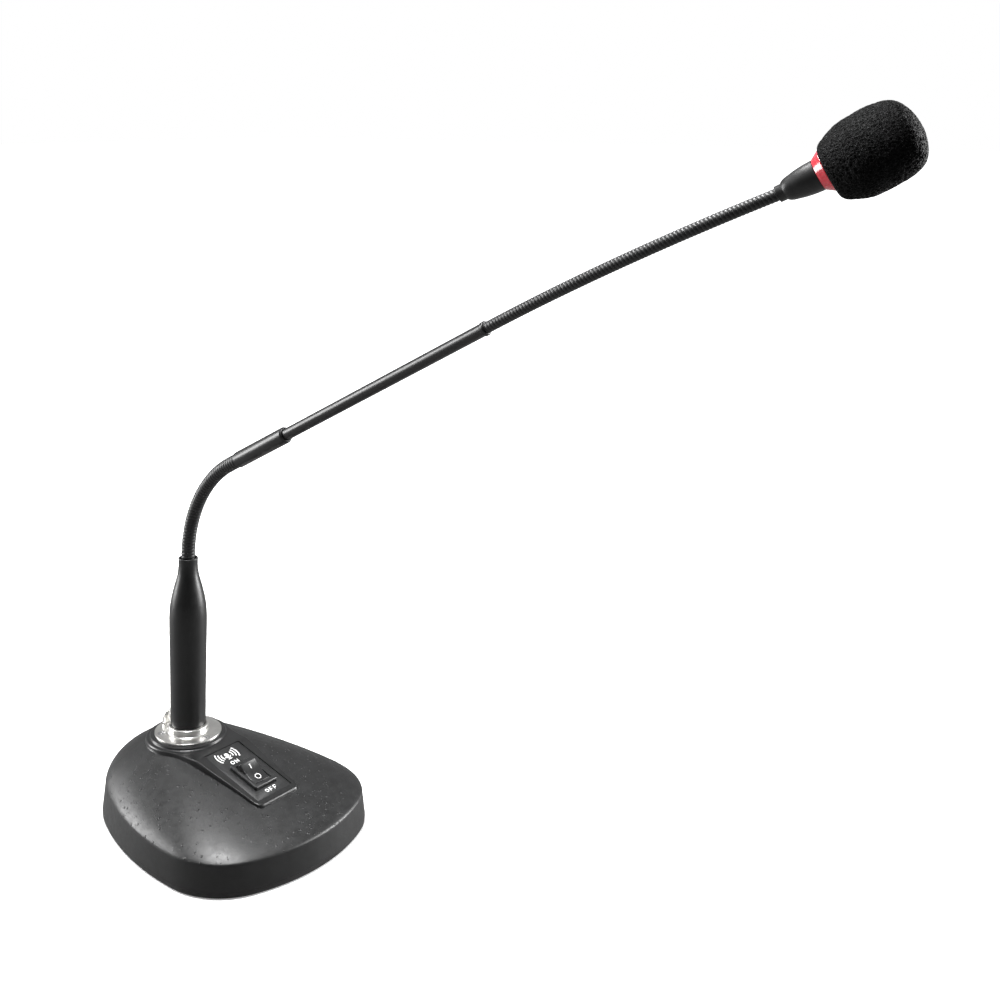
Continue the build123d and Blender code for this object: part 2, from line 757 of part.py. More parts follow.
arm_start = lower_at(lower_length)[0]
arm_along = direction(arm_elevation, 0)
arm_end = arm_start + arm_along * arm_length
flex_along = direction(flex_elevation, head_swing)
head_along = direction(head_elevation, head_swing)
upper_turn = acos(arm_along.dot(flex_along))
upper_radius = upper_flex_length / upper_turn
upper_inward = (flex_along - arm_along * cos(upper_turn)).normalized()


def upper_at(distance):
    """Point and direction on the upper flex, measured from the end of the tube."""
    turned = distance / upper_radius
    point = arm_end + arm_along * (upper_radius * sin(turned))
    point += upper_inward * (upper_radius * (1 - cos(turned)))
    return point, arm_along * cos(turned) + upper_inward * sin(turned)


def flex_piece(name, path, start, end, radius, bore):
    """Straight piece of ribbed tube between two distances on a path, written to its file."""
    middle, along = path((start + end) / 2)
    with BuildPart() as piece:
        with BuildSketch(frame_at(middle - along * ((end - start) / 2), along)):
            Circle(radius)
            Circle(bore, mode=Mode.SUBTRACT)
        extrude(amount=end - start)
        chamfer(piece.edges().filter_by(GeomType.CIRCLE).sort_by(SortBy.RADIUS)[-2:], 0.3)
    piece.part.label = name
    export_step(piece.part, f"parts/{name}.step")


lower_pitch = lower_length / lower_hinges
upper_pitch = upper_flex_length / upper_hinges
lower_tip_inside = 13.0
upper_root_inside = 12.0
upper_tip_inside = 3.0

# ---------------------------------------------------------------- plug and handle
shell_bore = 8.1
shell_shoulder = flange_top + collar_height
with BuildPart() as plug_shell:
    with BuildSketch(Plane.XZ):
        with BuildLine():
            Polyline((shell_bore, socket_floor + 2.6), (plug_radius, socket_floor + 2.6),
                     (plug_radius, shell_shoulder), (8.55, shell_shoulder),
                     (8.55, shell_shoulder + 10), (shell_bore, shell_shoulder + 10), close=True)
        make_face()
    revolve(axis=Axis.Z)
plug_shell.part.label = "plug_shell"
export_step(plug_shell.part, "parts/plug_shell.step")

with BuildPart() as plug_insert:
    with BuildSketch(Plane.XY.offset(insert_top + 1.5)):
        Circle(shell_bore - 0.03)
        with PolarLocations(pin_circle_radius, 3, start_angle=90):
            Circle(pin_diameter / 2 + 0.02, mode=Mode.SUBTRACT)
    extrude(amount=8)
plug_insert.part.label = "plug_insert"
export_step(plug_insert.part, "parts/plug_insert.step")

with BuildPart() as plug_pins:
    with BuildSketch(Plane.XY.offset(socket_floor + 4.5)):
        with PolarLocations(pin_circle_radius, 3, start_angle=90):
            Circle(pin_diameter / 2)
    extrude(amount=28)
    chamfer(plug_pins.edges().group_by(Axis.Z)[0], 0.5)
plug_pins.part.label = "plug_pins"
export_step(plug_pins.part, "parts/plug_pins.step")

handle_foot = shell_shoulder + 0.15
with BuildPart() as handle:
    with BuildSketch(Plane.XZ):
        with BuildLine():
            outside = Spline(
                (9.45, handle_foot), (9.7, flange_top + 35), (10.08, flange_top + 58),
                (9.9, flange_top + 64.5), (9.15, flange_top + 70.4), (7.6, flange_top + 76.9),
                (5.8, flange_top + 83.3), (5.22, flange_top + 88), (5.3, handle_top),
                tangents=[(0, 1), (0.05, 1)],
            )
            Polyline(outside @ 1, (4.3, handle_top), (4.3, flange_top + 84),
                     (8.6, flange_top + 66), (8.6, handle_foot), outside @ 0)
        make_face()
    revolve(axis=Axis.Z)
handle.part.label = "handle"
export_step(handle.part, "parts/handle.step")

bushing_low = flange_top + 52
with BuildPart() as handle_bushing:
    with BuildSketch(Plane.XY.offset(bushing_low)):
        Circle(8.57)
        Circle(lower_flex_diameter / 2 + 0.02, mode=Mode.SUBTRACT)
    extrude(amount=12)
handle_bushing.part.label = "handle_bushing"
export_step(handle_bushing.part, "parts/handle_bushing.step")

# ---------------------------------------------------------------- lower flex
lower_radius = lower_flex_diameter / 2
flex_piece("lower_flex_root", lower_at, bushing_low - handle_top,
           lower_pitch / 2 - lower_gap / 2 - 0.1, lower_radius, lower_bore / 2)
for link in range(1, lower_hinges):
    flex_piece(f"lower_flex_link_{link}", lower_at, (link - 0.5) * lower_pitch + lower_gap / 2,
               (link + 0.5) * lower_pitch - lower_gap / 2, lower_radius, lower_bore / 2)
flex_piece("lower_flex_tip", lower_at, lower_length - lower_pitch / 2 + lower_gap / 2 + 0.1,
           lower_length + lower_tip_inside, lower_radius, lower_bore / 2)

# ---------------------------------------------------------------- arm
arm_frame = frame_at(arm_start, arm_along)
arm_side = Plane(origin=arm_start, x_dir=across(arm_along), z_dir=across(arm_along).cross(arm_along))
arm_axis = Axis(arm_start, arm_along)


def arm_ring(profile):
    """Solid turned about the arm: (radius, distance from the lower flex) points."""
    with BuildPart() as ring:
        with BuildSketch(arm_side):
            with BuildLine():
                Polyline(*profile, close=True)
            make_face()
        revolve(axis=arm_axis)
    return ring.part


ferrule_bore = lower_radius + 0.08
tube_radius = tube_diameter / 2

with BuildPart() as ferrule:
    add(arm_ring([
        (ferrule_bore, 0), (ferrule_diameter / 2 - 0.2, 0), (ferrule_diameter / 2, 0.2),
        (ferrule_diameter / 2, ferrule_length - 1.2), (ferrule_diameter / 2 - 0.6, ferrule_length),
        (tube_radius + 0.3, ferrule_length), (tube_radius + 0.3, ferrule_length - 1.2),
        (tube_radius + 0.02, ferrule_length - 1.2), (tube_radius + 0.02, lower_tip_inside + 0.4),
        (ferrule_bore, lower_tip_inside + 0.4),
    ]))
ferrule.part.label = "ferrule"
export_step(ferrule.part, "parts/ferrule.step")

tube_start = lower_tip_inside + 0.8
wide_bore = upper_flex_diameter / 2 + 0.05
rim_start = arm_length - 2.4
with BuildPart() as tube:
    add(arm_ring([
        (tube_radius, tube_start), (tube_radius, rim_start), (tube_radius + 0.35, rim_start + 0.5),
        (tube_radius + 0.35, arm_length - 0.4), (tube_radius, arm_length), (wide_bore, arm_length),
        (wide_bore, arm_length - upper_root_inside - 0.5),
        (2.3, arm_length - upper_root_inside - 0.5), (2.3, tube_start),
    ]))
tube.part.label = "tube"
export_step(tube.part, "parts/tube.step")

with BuildPart() as tube_cable:
    with BuildSketch(frame_at(arm_start + arm_along * 1, arm_along)):
        Circle(1.3)
    extrude(amount=arm_length - 2)
tube_cable.part.label = "tube_cable"
export_step(tube_cable.part, "parts/tube_cable.step")

# ---------------------------------------------------------------- upper flex
upper_radius_outside = upper_flex_diameter / 2
flex_piece("upper_flex_root", upper_at, -upper_root_inside,
           upper_pitch / 2 - upper_gap / 2, upper_radius_outside, upper_bore / 2)
for link in range(1, upper_hinges):
    flex_piece(f"upper_flex_link_{link}", upper_at, (link - 0.5) * upper_pitch + upper_gap / 2,
               (link + 0.5) * upper_pitch - upper_gap / 2, upper_radius_outside, upper_bore / 2)
flex_piece("upper_flex_tip", upper_at, upper_flex_length - upper_pitch / 2 + upper_gap / 2,
           upper_flex_length + upper_tip_inside, upper_radius_outside, upper_bore / 2)

# ---------------------------------------------------------------- microphone head
head_start = upper_at(upper_flex_length)[0]
head_axis = Axis(head_start, head_along)
head_side = Plane(origin=head_start, x_dir=across(head_along), z_dir=across(head_along).cross(head_along))
ring_end = cone_length + ring_length
foam_end = ring_end + foam_length
cone_bore = upper_flex_diameter / 2 + 0.35
cone_seat = 7.5

with BuildPart() as mic_cone:
    with BuildSketch(head_side):
        with BuildLine():
            shell = Spline((3.85, 3), (5.2, 7.6), (6.0, 12.5), (cone_front_radius, cone_length),
                           tangents=[(0.75, 1), (0.08, 1)])
            Polyline(shell @ 1, (holder_radius + 0.05, cone_length), (holder_radius + 0.05, 13.8),
                     (4.2, 13.8), (4.2, cone_seat), (cone_bore, cone_seat), (cone_bore, 0),
                     (3.35, 0), (3.35, 3),
                     shell @ 0)
        make_face()
    revolve(axis=head_axis)
mic_cone.part.label = "mic_cone"
export_step(mic_cone.part, "parts/mic_cone.step")

with BuildPart() as led_ring:
    with BuildSketch(head_side):
        with BuildLine():
            Polyline((holder_radius + 0.1, cone_length + 0.05), (cone_front_radius, cone_length + 0.05),
                     (ring_front_radius - 0.1, ring_end - 0.5), (ring_front_radius, ring_end),
                     (holder_radius + 0.1, ring_end), close=True)
        make_face()
    revolve(axis=head_axis)
led_ring.part.label = "led_ring"
export_step(led_ring.part, "parts/led_ring.step")

with BuildPart() as led_board:
    with BuildSketch(frame_at(head_start + head_along * 11.5, head_along)):
        Circle(4.1)
        Circle(1.8, mode=Mode.SUBTRACT)
    extrude(amount=1)
    with BuildSketch(frame_at(head_start + head_along * 12.5, head_along)):
        with PolarLocations(3, 3):
            Rectangle(1.6, 1.6)
    extrude(amount=0.8)
led_board.part.label = "led_board"
export_step(led_board.part, "parts/led_board.step")

with BuildPart() as capsule_holder:
    with BuildSketch(frame_at(head_start + head_along * 13.9, head_along)):
        Circle(holder_radius)
        Circle(holder_radius - 0.6, mode=Mode.SUBTRACT)
    extrude(amount=holder_end - 13.9)
capsule_holder.part.label = "capsule_holder"
export_step(capsule_holder.part, "parts/capsule_holder.step")

with BuildPart() as capsule:
    with BuildSketch(frame_at(head_start + head_along * (holder_end - 6), head_along)):
        Circle(holder_radius - 0.65)
    extrude(amount=5)
capsule.part.label = "capsule"
export_step(capsule.part, "parts/capsule.step")

with BuildPart() as capsule_grille:
    with BuildSketch(frame_at(head_start + head_along * holder_end, head_along)):
        Circle(holder_radius)
        with PolarLocations(3.2, 6):
            Circle(0.8, mode=Mode.SUBTRACT)
    extrude(amount=0.8)
capsule_grille.part.label = "capsule_grille"
export_step(capsule_grille.part, "parts/capsule_grille.step")

foam_start = ring_end + 0.05
foam_bore = holder_radius + 0.1
with BuildPart() as windscreen:
    with BuildSketch(head_side):
        with BuildLine():
            skin = Spline(
                (ring_front_radius + 0.9, foam_start), (12.2, ring_end + 2.7),
                (foam_radius, ring_end + 13.5), (13.2, ring_end + 32.9), (0, foam_end),
                tangents=[(1, 0.4), (-1, 0)],
            )
            Polyline(skin @ 1, (0, holder_end + 1.4), (foam_bore, holder_end + 1.4),
                     (foam_bore, foam_start), skin @ 0)
        make_face()
    revolve(axis=head_axis)
windscreen.part.label = "windscreen"
export_step(windscreen.part, "parts/windscreen.step")
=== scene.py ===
"""Desktop gooseneck microphone stand: the looks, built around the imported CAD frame.

Dimensions are millimetres, in the CAD frame: +Z is up, the origin is on the desk under the
socket, and "forward" is a distance along -Y. Meshes are scaled to metres as they are made.
"""

import json
from math import acos, atan2, cos, hypot, pi, radians, sin, sqrt, tan

import bmesh
import bpy
import numpy as np
from mathutils import Matrix, Vector


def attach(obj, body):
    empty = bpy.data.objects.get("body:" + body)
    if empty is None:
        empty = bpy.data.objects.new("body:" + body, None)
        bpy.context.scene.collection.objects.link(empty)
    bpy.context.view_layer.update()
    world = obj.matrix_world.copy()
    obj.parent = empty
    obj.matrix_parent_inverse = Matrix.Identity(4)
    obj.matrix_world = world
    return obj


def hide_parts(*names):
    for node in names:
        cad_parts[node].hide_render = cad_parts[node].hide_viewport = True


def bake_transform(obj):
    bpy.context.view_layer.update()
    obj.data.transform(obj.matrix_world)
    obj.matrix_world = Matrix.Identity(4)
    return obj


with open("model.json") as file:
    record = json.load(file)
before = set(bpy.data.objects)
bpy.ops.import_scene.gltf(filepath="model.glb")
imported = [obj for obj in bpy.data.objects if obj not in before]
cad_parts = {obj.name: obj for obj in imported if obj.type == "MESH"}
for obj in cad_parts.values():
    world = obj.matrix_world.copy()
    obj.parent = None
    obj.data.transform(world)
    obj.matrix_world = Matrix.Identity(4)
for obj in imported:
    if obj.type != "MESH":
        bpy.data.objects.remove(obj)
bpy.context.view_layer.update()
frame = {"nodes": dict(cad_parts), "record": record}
SLOT_OF = {part["node"]: part["material_slot"] for part in frame["record"]["subparts"]}
MM = 0.001

# ---------------- dimensions shared with the CAD
BASE_FRONT, BASE_BACK = 99.5, 43.0
FRONT_RADIUS, CORNER_RADIUS, SIDE_RADIUS, BACK_RADIUS = 96.0, 37.5, 158.0, 49.0
CORNER_OFFSET = 22.8
PLATE_TOP = 2.8
SKIRT_TOP, SKIRT_DRAFT = 15.2, 1.8
DOME_TOP, DOME_TOP_RADIUS = 35.0, 20.0
WALL, ROOF = 2.5, 2.2
SOCKET_HOLE = 12.2

PANEL_BACK_RADIUS = 22.5
PANEL_WAIST = (36.0, 17.0)
PANEL_FRONT, PANEL_FRONT_HALF_WIDTH = 70.3, 14.2
PANEL_HEIGHT = 36.2
SLOPE, SLOPE_START = radians(13.43), 26.7
LABEL_LENGTH, LABEL_WIDTH, LABEL_RECESS = 40.0, 23.5, 0.3
SWITCH_CENTRE = 50.6
BEZEL_HEIGHT = 1.8
PIVOT_DEPTH = 2.0
ROCKER_LENGTH, ROCKER_WIDTH, ROCKER_THROW = 12.8, 10.2, radians(15)
ROCKER_EDGE, ROCKER_SAG = 3.8, 1.2
FLANGE_RADIUS, FLANGE_TOP = 17.8, 38.5
COLLAR_RADIUS, COLLAR_HEIGHT = 10.8, 3.5
PLUG_BORE = 9.53

HANDLE_TOP = FLANGE_TOP + 92.4
LOWER_BEND, LOWER_BEND_RADIUS, LOWER_STRAIGHT = radians(62), 63.0, 7.4
LOWER_HINGES, LOWER_RADIUS, LOWER_BORE = 8, 3.75, 2.3
FERRULE_LENGTH, FERRULE_RADIUS = 39.8, 4.2
ARM_LENGTH, TUBE_RADIUS = 181.6, 3.0
UPPER_LENGTH, UPPER_HINGES, UPPER_RADIUS, UPPER_BORE = 143.5, 10, 2.6, 1.6
FLEX_ELEVATION, HEAD_ELEVATION, HEAD_SWING = radians(23.7), radians(27.3), radians(17)
CONE_LENGTH, CONE_FRONT = 17.3, 6.4
RING_END, RING_FRONT = 21.1, 8.6
HOLDER_RADIUS, HOLDER_END = 5.5, 46.0
FOAM_RADIUS, FOAM_LENGTH = 15.9, 38.4


# ---------------- procedural materials
class Nodes:
    """Short names for building one node material."""

    def __init__(self, name):
        self.name = name
        self.material = bpy.data.materials.new(f"{name}_finish")
        self.material.use_nodes = True
        self.tree = self.material.node_tree
        self.shader = self.tree.nodes["Principled BSDF"]
        self.place = self.wire("TexCoord", "Object")

    def feed(self, socket, value):
        if isinstance(value, bpy.types.NodeSocket):
            self.tree.links.new(value, socket)
        else:
            socket.default_value = value

    def set(self, **values):
        for key, value in values.items():
            self.feed(self.shader.inputs[key.replace("_", " ")], value)

    def wire(self, kind, output, inputs=(), **settings):
        """Adds a node of a kind, feeds its inputs and gives one of its outputs."""
        node = self.tree.nodes.new(f"ShaderNode{kind}")
        for key, value in settings.items():
            setattr(node, key, value)
        for key, value in dict(inputs).items():
            self.feed(node.inputs[key], value)
        return node.outputs[output]

    def noise(self, size, detail=3.0):
        """Noise with features about size millimetres across."""
        inputs = {"Vector": self.place, "Scale": 1 / (size * MM), "Detail": detail}
        return self.wire("TexNoise", "Fac", inputs)

    def cells(self, size, feature="F1", output="Distance"):
        """Cells about size millimetres across."""
        inputs = {"Vector": self.place, "Scale": 1 / (size * MM)}
        return self.wire("TexVoronoi", output, inputs, feature=feature)

    def spread(self, value, low, high, to_low=0.0, to_high=1.0):
        """Remaps value smoothly from low..high to to_low..to_high."""
        inputs = {"Value": value, "From Min": low, "From Max": high,
                  "To Min": to_low, "To Max": to_high}
        return self.wire("MapRange", "Result", inputs, interpolation_type="SMOOTHSTEP")

    def combine(self, a, b, operation="MULTIPLY"):
        return self.wire("Math", 0, {0: a, 1: b}, operation=operation)

    def mix(self, share, a, b):
        return self.wire("Mix", "Result", {"Factor": share, "A": a, "B": b}, data_type="RGBA")

    def length(self, vector):
        return self.wire("VectorMath", "Value", {0: vector}, operation="LENGTH")

    def bump(self, height, depth, below=None):
        """Bump whose height of 1 stands depth millimetres proud, over another one if given."""
        inputs = {"Distance": depth * MM, "Height": height}
        if below is not None:
            inputs["Normal"] = below
        return self.wire("Bump", "Normal", inputs)

    def worn_edges(self):
        """1 on sharp convex edges, 0 elsewhere."""
        return self.spread(self.wire("NewGeometry", "Pointiness"), 0.52, 0.62)


def grey(level, tint=(1.0, 1.0, 1.0)):
    return (level * tint[0], level * tint[1], level * tint[2], 1.0)


COLOUR_PATCH, GLOSS_PATCH = 9.0, 3.33
PATCHES = (0.3, 0.7)  # span of noise values over which patches fade into each other


def surface(name, dark, light, roughness, grain, grain_depth, metal=0.0, wear=None):
    """Base finish: patchy colour and gloss, fine grain in relief, optional wear on the edges."""
    make = Nodes(name)
    colour = make.mix(make.spread(make.noise(COLOUR_PATCH), *PATCHES), dark, light)
    if wear is not None:
        colour = make.mix(make.combine(make.worn_edges(), 0.35), colour, wear)
    rough = make.spread(make.noise(GLOSS_PATCH, 4.0), *PATCHES, *roughness)
    relief = make.bump(make.noise(grain, 2.0), grain_depth)
    make.set(Base_Color=colour, Roughness=rough, Metallic=metal, Normal=relief)
    return make, relief


COOL = (0.97, 1.0, 1.03)
MATERIALS = {}


def keep(make):
    MATERIALS[make.name] = make.material


def cast_paint():
    """Textured black paint on the casting: fine grain, and pimples scattered over the dome."""
    make, grain = surface("cast_paint", grey(0.005, COOL), grey(0.009, COOL), (0.38, 0.46),
                          0.45, 0.03, wear=grey(0.03))
    height = make.wire("SeparateXYZ", "Z", {0: make.place})
    on_dome = make.spread(height, (SKIRT_TOP - 0.5) * MM, (SKIRT_TOP + 1) * MM)
    region = make.combine(make.spread(make.noise(26.0, 1.0), 0.36, 0.52), on_dome)
    relief = grain
    for size, least, depth in ((2.9, 0.45, 0.34), (1.6, 0.55, 0.16)):
        bump = make.spread(make.cells(size), 0.10, 0.24, 1.0, 0.0)
        chosen = make.spread(make.cells(size, output="Color"), least, least + 0.08)
        pimple = make.combine(make.combine(bump, chosen), region)
        relief = make.bump(pimple, depth, relief)
    make.set(Normal=relief)
    keep(make)


def foam():
    """Black open-cell foam: matt struts, with painted shade darkening the pores between them and
    painted highlights on a few strut tips.
    """
    make = Nodes("foam")
    strut = make.spread(make.cells(1.15, "DISTANCE_TO_EDGE"), 0.02, 0.22, 1.0, 0.0)
    fine = make.spread(make.cells(0.55, "DISTANCE_TO_EDGE"), 0.02, 0.25, 1.0, 0.0)
    web = make.combine(make.combine(strut, 0.6), make.combine(fine, 0.4), "ADD")
    # Mask of a few strut tips that get painted highlights.
    painted_glint = make.spread(make.noise(0.7, 2.0), 0.60, 0.72)
    # Pores darker than the struts: painted shade in the pores, over the real relief.
    colour = make.mix(web, grey(0.0002), grey(0.0012, COOL))
    colour = make.mix(make.combine(painted_glint, web), colour, grey(0.06, COOL))
    make.set(Base_Color=colour, Roughness=make.spread(web, 0, 1, 0.95, 0.6),
             Specular_IOR_Level=0.16, Normal=make.bump(web, 0.45))
    keep(make)


def light_ring():
    """Clear red plastic, glossy and slightly cloudy, with a weak painted glow from emission in its
    own colour.
    """
    make = Nodes("light_ring")
    cloud = make.spread(make.noise(5.0), *PATCHES)
    colour = make.mix(cloud, (0.40, 0.018, 0.030, 1), (0.50, 0.034, 0.050, 1))
    # The weak emission below is a painted glow in the ring's own colour that brightens the plastic;
    # the switch is at OFF.
    make.set(Base_Color=colour, Roughness=make.spread(make.noise(1.5), *PATCHES, 0.12, 0.24),
             Subsurface_Weight=0.35, Subsurface_Radius=(0.004, 0.001, 0.001), Subsurface_Scale=1.0,
             Emission_Color=colour, Emission_Strength=0.30, Coat_Weight=0.6, Coat_Roughness=0.08,
             Normal=make.bump(make.noise(2.5), 0.03))
    keep(make)


def nickel():
    """Satin nickel, its gloss varying in fine turning lines round the socket axis."""
    warm = (1.0, 0.99, 0.96)
    make, relief = surface("nickel", grey(0.62, warm), grey(0.74, warm), (0.30, 0.34), 4.0, 0.0005,
                           metal=1.0)
    flat = make.wire("VectorMath", "Vector", {0: make.place, 1: (1, 1, 0)}, operation="MULTIPLY")
    inputs = {"W": make.length(flat), "Scale": 1500}
    line = make.wire("TexNoise", "Fac", inputs, noise_dimensions="1D")
    fine = make.spread(line, *PATCHES, 0.29, 0.35)
    make.set(Roughness=fine, Normal=relief)
    keep(make)


def circuit_board():
    """Green board with lighter tracks under the varnish."""
    dark, light = (0.01, 0.09, 0.035, 1), (0.015, 0.13, 0.05, 1)
    make = surface("board", dark, light, (0.25, 0.4), 0.8, 0.02)[0]
    tracks = make.spread(make.cells(3.0, "DISTANCE_TO_EDGE"), 0.04, 0.07, 1.0, 0.0)
    ground = make.mix(make.noise(12.0), dark, light)
    make.set(Base_Color=make.mix(tracks, ground, (0.04, 0.26, 0.10, 1)))
    keep(make)


cast_paint()
foam()
light_ring()
nickel()
circuit_board()
# name, darkest and lightest colour, roughness from and to, grain size and grain depth
for finish in (
    ("black_steel", grey(0.012), grey(0.02), (0.42, 0.55), 0.6, 0.03),
    ("rubber", grey(0.010), grey(0.018), (0.75, 0.9), 0.5, 0.05),
    ("panel_plastic", grey(0.006, COOL), grey(0.009, COOL), (0.30, 0.36), 0.35, 0.006),
    ("label", grey(0.008, COOL), grey(0.011, COOL), (0.40, 0.48), 0.3, 0.004),
    ("switch_plastic", grey(0.010, COOL), grey(0.014, COOL), (0.30, 0.36), 0.4, 0.002),
    ("insulator", grey(0.012), grey(0.02), (0.4, 0.5), 0.5, 0.01),
    ("components", grey(0.02), grey(0.05), (0.3, 0.45), 1.0, 0.02),
    ("handle_paint", grey(0.003, COOL), grey(0.005, COOL), (0.36, 0.42), 0.35, 0.008),
    ("flex_paint", grey(0.008, COOL), grey(0.012, COOL), (0.36, 0.44), 0.5, 0.002),
    ("arm_paint", grey(0.004, COOL), grey(0.006, COOL), (0.32, 0.36), 0.5, 0.001),
    ("cone_paint", grey(0.005, COOL), grey(0.008, COOL), (0.36, 0.40), 0.5, 0.001),
    ("wire", (0.45, 0.02, 0.02, 1), (0.55, 0.03, 0.03, 1), (0.35, 0.5), 0.8, 0.02),
    ("print_white", grey(0.78), grey(0.88), (0.45, 0.55), 0.4, 0.01),
):
    keep(surface(*finish)[0])
for finish in (
    ("steel", grey(0.42), grey(0.55), (0.28, 0.42), 0.5, 0.01),
    ("ballast", grey(0.10), grey(0.20), (0.55, 0.75), 0.8, 0.08),
    ("brass", (0.62, 0.42, 0.16, 1), (0.74, 0.53, 0.22, 1), (0.25, 0.4), 0.5, 0.01),
    ("contact_metal", (0.62, 0.6014, 0.558, 1), (0.75, 0.7275, 0.675, 1), (0.18, 0.3), 0.5, 0.005),
    ("battery", (0.30, 0.34, 0.40, 1), (0.42, 0.46, 0.52, 1), (0.25, 0.38), 0.8, 0.01),
    ("aluminium", grey(0.56, COOL), grey(0.70, COOL), (0.28, 0.4), 0.4, 0.008),
):
    keep(surface(*finish, metal=1.0)[0])


# ---------------- mesh helpers
def dressed(obj, slot, body=None, stands_for=(), paint=None):
    """Gives a finished piece its material, its body and the CAD nodes it stands for."""
    obj.data.materials.clear()
    obj.data.materials.append(MATERIALS[paint or slot])
    if body:
        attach(obj, body)
    if stands_for:
        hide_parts(*stands_for)
    return obj


def linked(name, data):
    """New object in the scene for a mesh, a light or the camera."""
    obj = bpy.data.objects.new(name, data)
    bpy.context.scene.collection.objects.link(obj)
    return obj


def new_object(name, points, faces, sharp=32):
    """Mesh object from millimetre points, smooth except at edges sharper than an angle."""
    mesh = bpy.data.meshes.new(name)
    scaled = (np.asarray(points, float) * MM).tolist()
    mesh.from_pydata(scaled, [], faces)
    work = bmesh.new()
    work.from_mesh(mesh)
    bmesh.ops.remove_doubles(work, verts=work.verts, dist=1e-7)
    bmesh.ops.recalc_face_normals(work, faces=work.faces)
    work.to_mesh(mesh)
    work.free()
    mesh.shade_smooth()
    mesh.set_sharp_from_angle(angle=radians(sharp))
    return linked(name, mesh)


def grid_faces(rows, around):
    """Quads over rows x around points, closed round both directions."""
    faces = []
    for row in range(rows):
        here, there = row * around, (row + 1) % rows * around
        for step in range(around):
            ahead = (step + 1) % around
            faces.append((here + step, here + ahead, there + ahead, there + step))
    return faces


def round_off(start, corner, end, t):
    """Point at share t of the curve that rounds a corner off between start and end."""
    return start * (1 - t) ** 2 + corner * 2 * t * (1 - t) + end * t**2


def softened(corners, steps=4):
    """Closed profile from (radius, distance, cut) corners, each rounded over its cut."""
    points = []
    count = len(corners)
    for index, (radius, distance, cut) in enumerate(corners):
        corner = Vector((radius, distance))
        if cut <= 0:
            points.append(corner)
            continue
        before = Vector(corners[index - 1][:2]) - corner
        after = Vector(corners[(index + 1) % count][:2]) - corner
        start, end = corner + before.normalized() * cut, corner + after.normalized() * cut
        points += [round_off(start, corner, end, step / steps) for step in range(steps + 1)]
    return points


def through(points, first, last, steps=8):
    """Smooth line through (radius, distance) points, with its direction given at both ends."""
    places = [Vector(point) for point in points]
    slopes = [Vector(first).normalized()]
    for before, here, after in zip(places, places[1:], places[2:]):
        slopes.append((after - before) / ((after - here).length + (here - before).length))
    slopes.append(Vector(last).normalized())
    line = []
    for index in range(len(places) - 1):
        a, b = places[index], places[index + 1]
        span = (b - a).length
        for step in range(steps):
            t = step / steps
            line.append(a * (2 * t**3 - 3 * t**2 + 1) + slopes[index] * span * (t**3 - 2 * t**2 + t)
                        + b * (3 * t**2 - 2 * t**3) + slopes[index + 1] * span * (t**3 - t**2))
    return line + [places[-1]]


def axes_for(along):
    """Two unit vectors square to a direction and to each other."""
    along = Vector(along).normalized()
    upright = abs(along.z) > 0.999
    side = Vector((1, 0, 0)) if upright else Vector((0, 0, 1)).cross(along).normalized()
    return side, along.cross(side)


def turned(name, profile, origin=(0, 0, 0), along=(0, 0, 1), around=96, sharp=32):
    """Closed body turned from (radius, distance) points about an axis."""
    side, up = axes_for(along)
    origin, along = Vector(origin), Vector(along)
    points = []
    for radius, distance in profile:
        centre = origin + along * distance
        for step in range(around):
            angle = 2 * pi * step / around
            points.append(centre + (side * cos(angle) + up * sin(angle)) * radius)
    return new_object(name, points, grid_faces(len(profile), around), sharp)


def prism_faces(count, flip=False):
    """Two end faces and the sides between two matching outlines of count points."""
    ends = [tuple(range(count)), tuple(range(2 * count - 1, count - 1, -1))]
    if flip:
        ends = [end[::-1] for end in ends]
    sides = []
    for step in range(count):
        ahead = (step + 1) % count
        sides.append((step, ahead, count + ahead, count + step))
    return ends + sides


def box_cutter(width, length, low, high, place, radius=0.0):
    """Closed box, centred in its plane, between two heights, moved to a place; rounded if asked."""
    half_width, half_length = width / 2, length / 2
    outline = [(-half_width, -half_length, radius), (half_width, -half_length, radius),
               (half_width, half_length, radius), (-half_width, half_length, radius)]
    flat = softened(outline)
    points = [place @ Vector((x, y, height)) for height in (low, high) for x, y in flat]
    return new_object("cutter", points, prism_faces(len(flat), flip=True))


def carve(obj, *cutters, sharp=32):
    """Cuts closed shapes out of a piece for good, then discards them."""
    for cutter in cutters:
        cut = obj.modifiers.new("cut", "BOOLEAN")
        cut.operation = "DIFFERENCE"
        cut.solver = "EXACT"
        cut.object = cutter
        evaluated = obj.evaluated_get(bpy.context.evaluated_depsgraph_get())
        obj.modifiers.clear()
        mesh = bpy.data.meshes.new_from_object(evaluated)
        uncut = obj.data
        obj.data = mesh
        bpy.data.meshes.remove(uncut)
        bpy.data.objects.remove(cutter)
    obj.data.shade_smooth()
    obj.data.set_sharp_from_angle(angle=radians(sharp))


def round_edges(work, edges, width, segments):
    bmesh.ops.bevel(work, geom=edges, offset=width * MM, offset_type="OFFSET", segments=segments,
                    profile=0.5, affect="EDGES", clamp_overlap=True)


def refined(node, width, body):
    """Copy of a CAD node with its flat areas merged and its edges rounded over a width."""
    source = frame["nodes"][node]
    work = bmesh.new()
    work.from_mesh(source.data)
    bmesh.ops.remove_doubles(work, verts=work.verts, dist=1e-6)
    bmesh.ops.dissolve_limit(work, angle_limit=radians(1), verts=work.verts, edges=work.edges)
    hard = [edge for edge in work.edges
            if len(edge.link_faces) == 2 and edge.calc_face_angle() > radians(28)]
    round_edges(work, hard, width, 2)
    mesh = bpy.data.meshes.new(f"{node}_finished")
    work.to_mesh(mesh)
    work.free()
    mesh.shade_smooth()
    mesh.set_sharp_from_angle(angle=radians(40))
    return dressed(linked(f"{node}_finished", mesh), SLOT_OF[node], body, (node,))


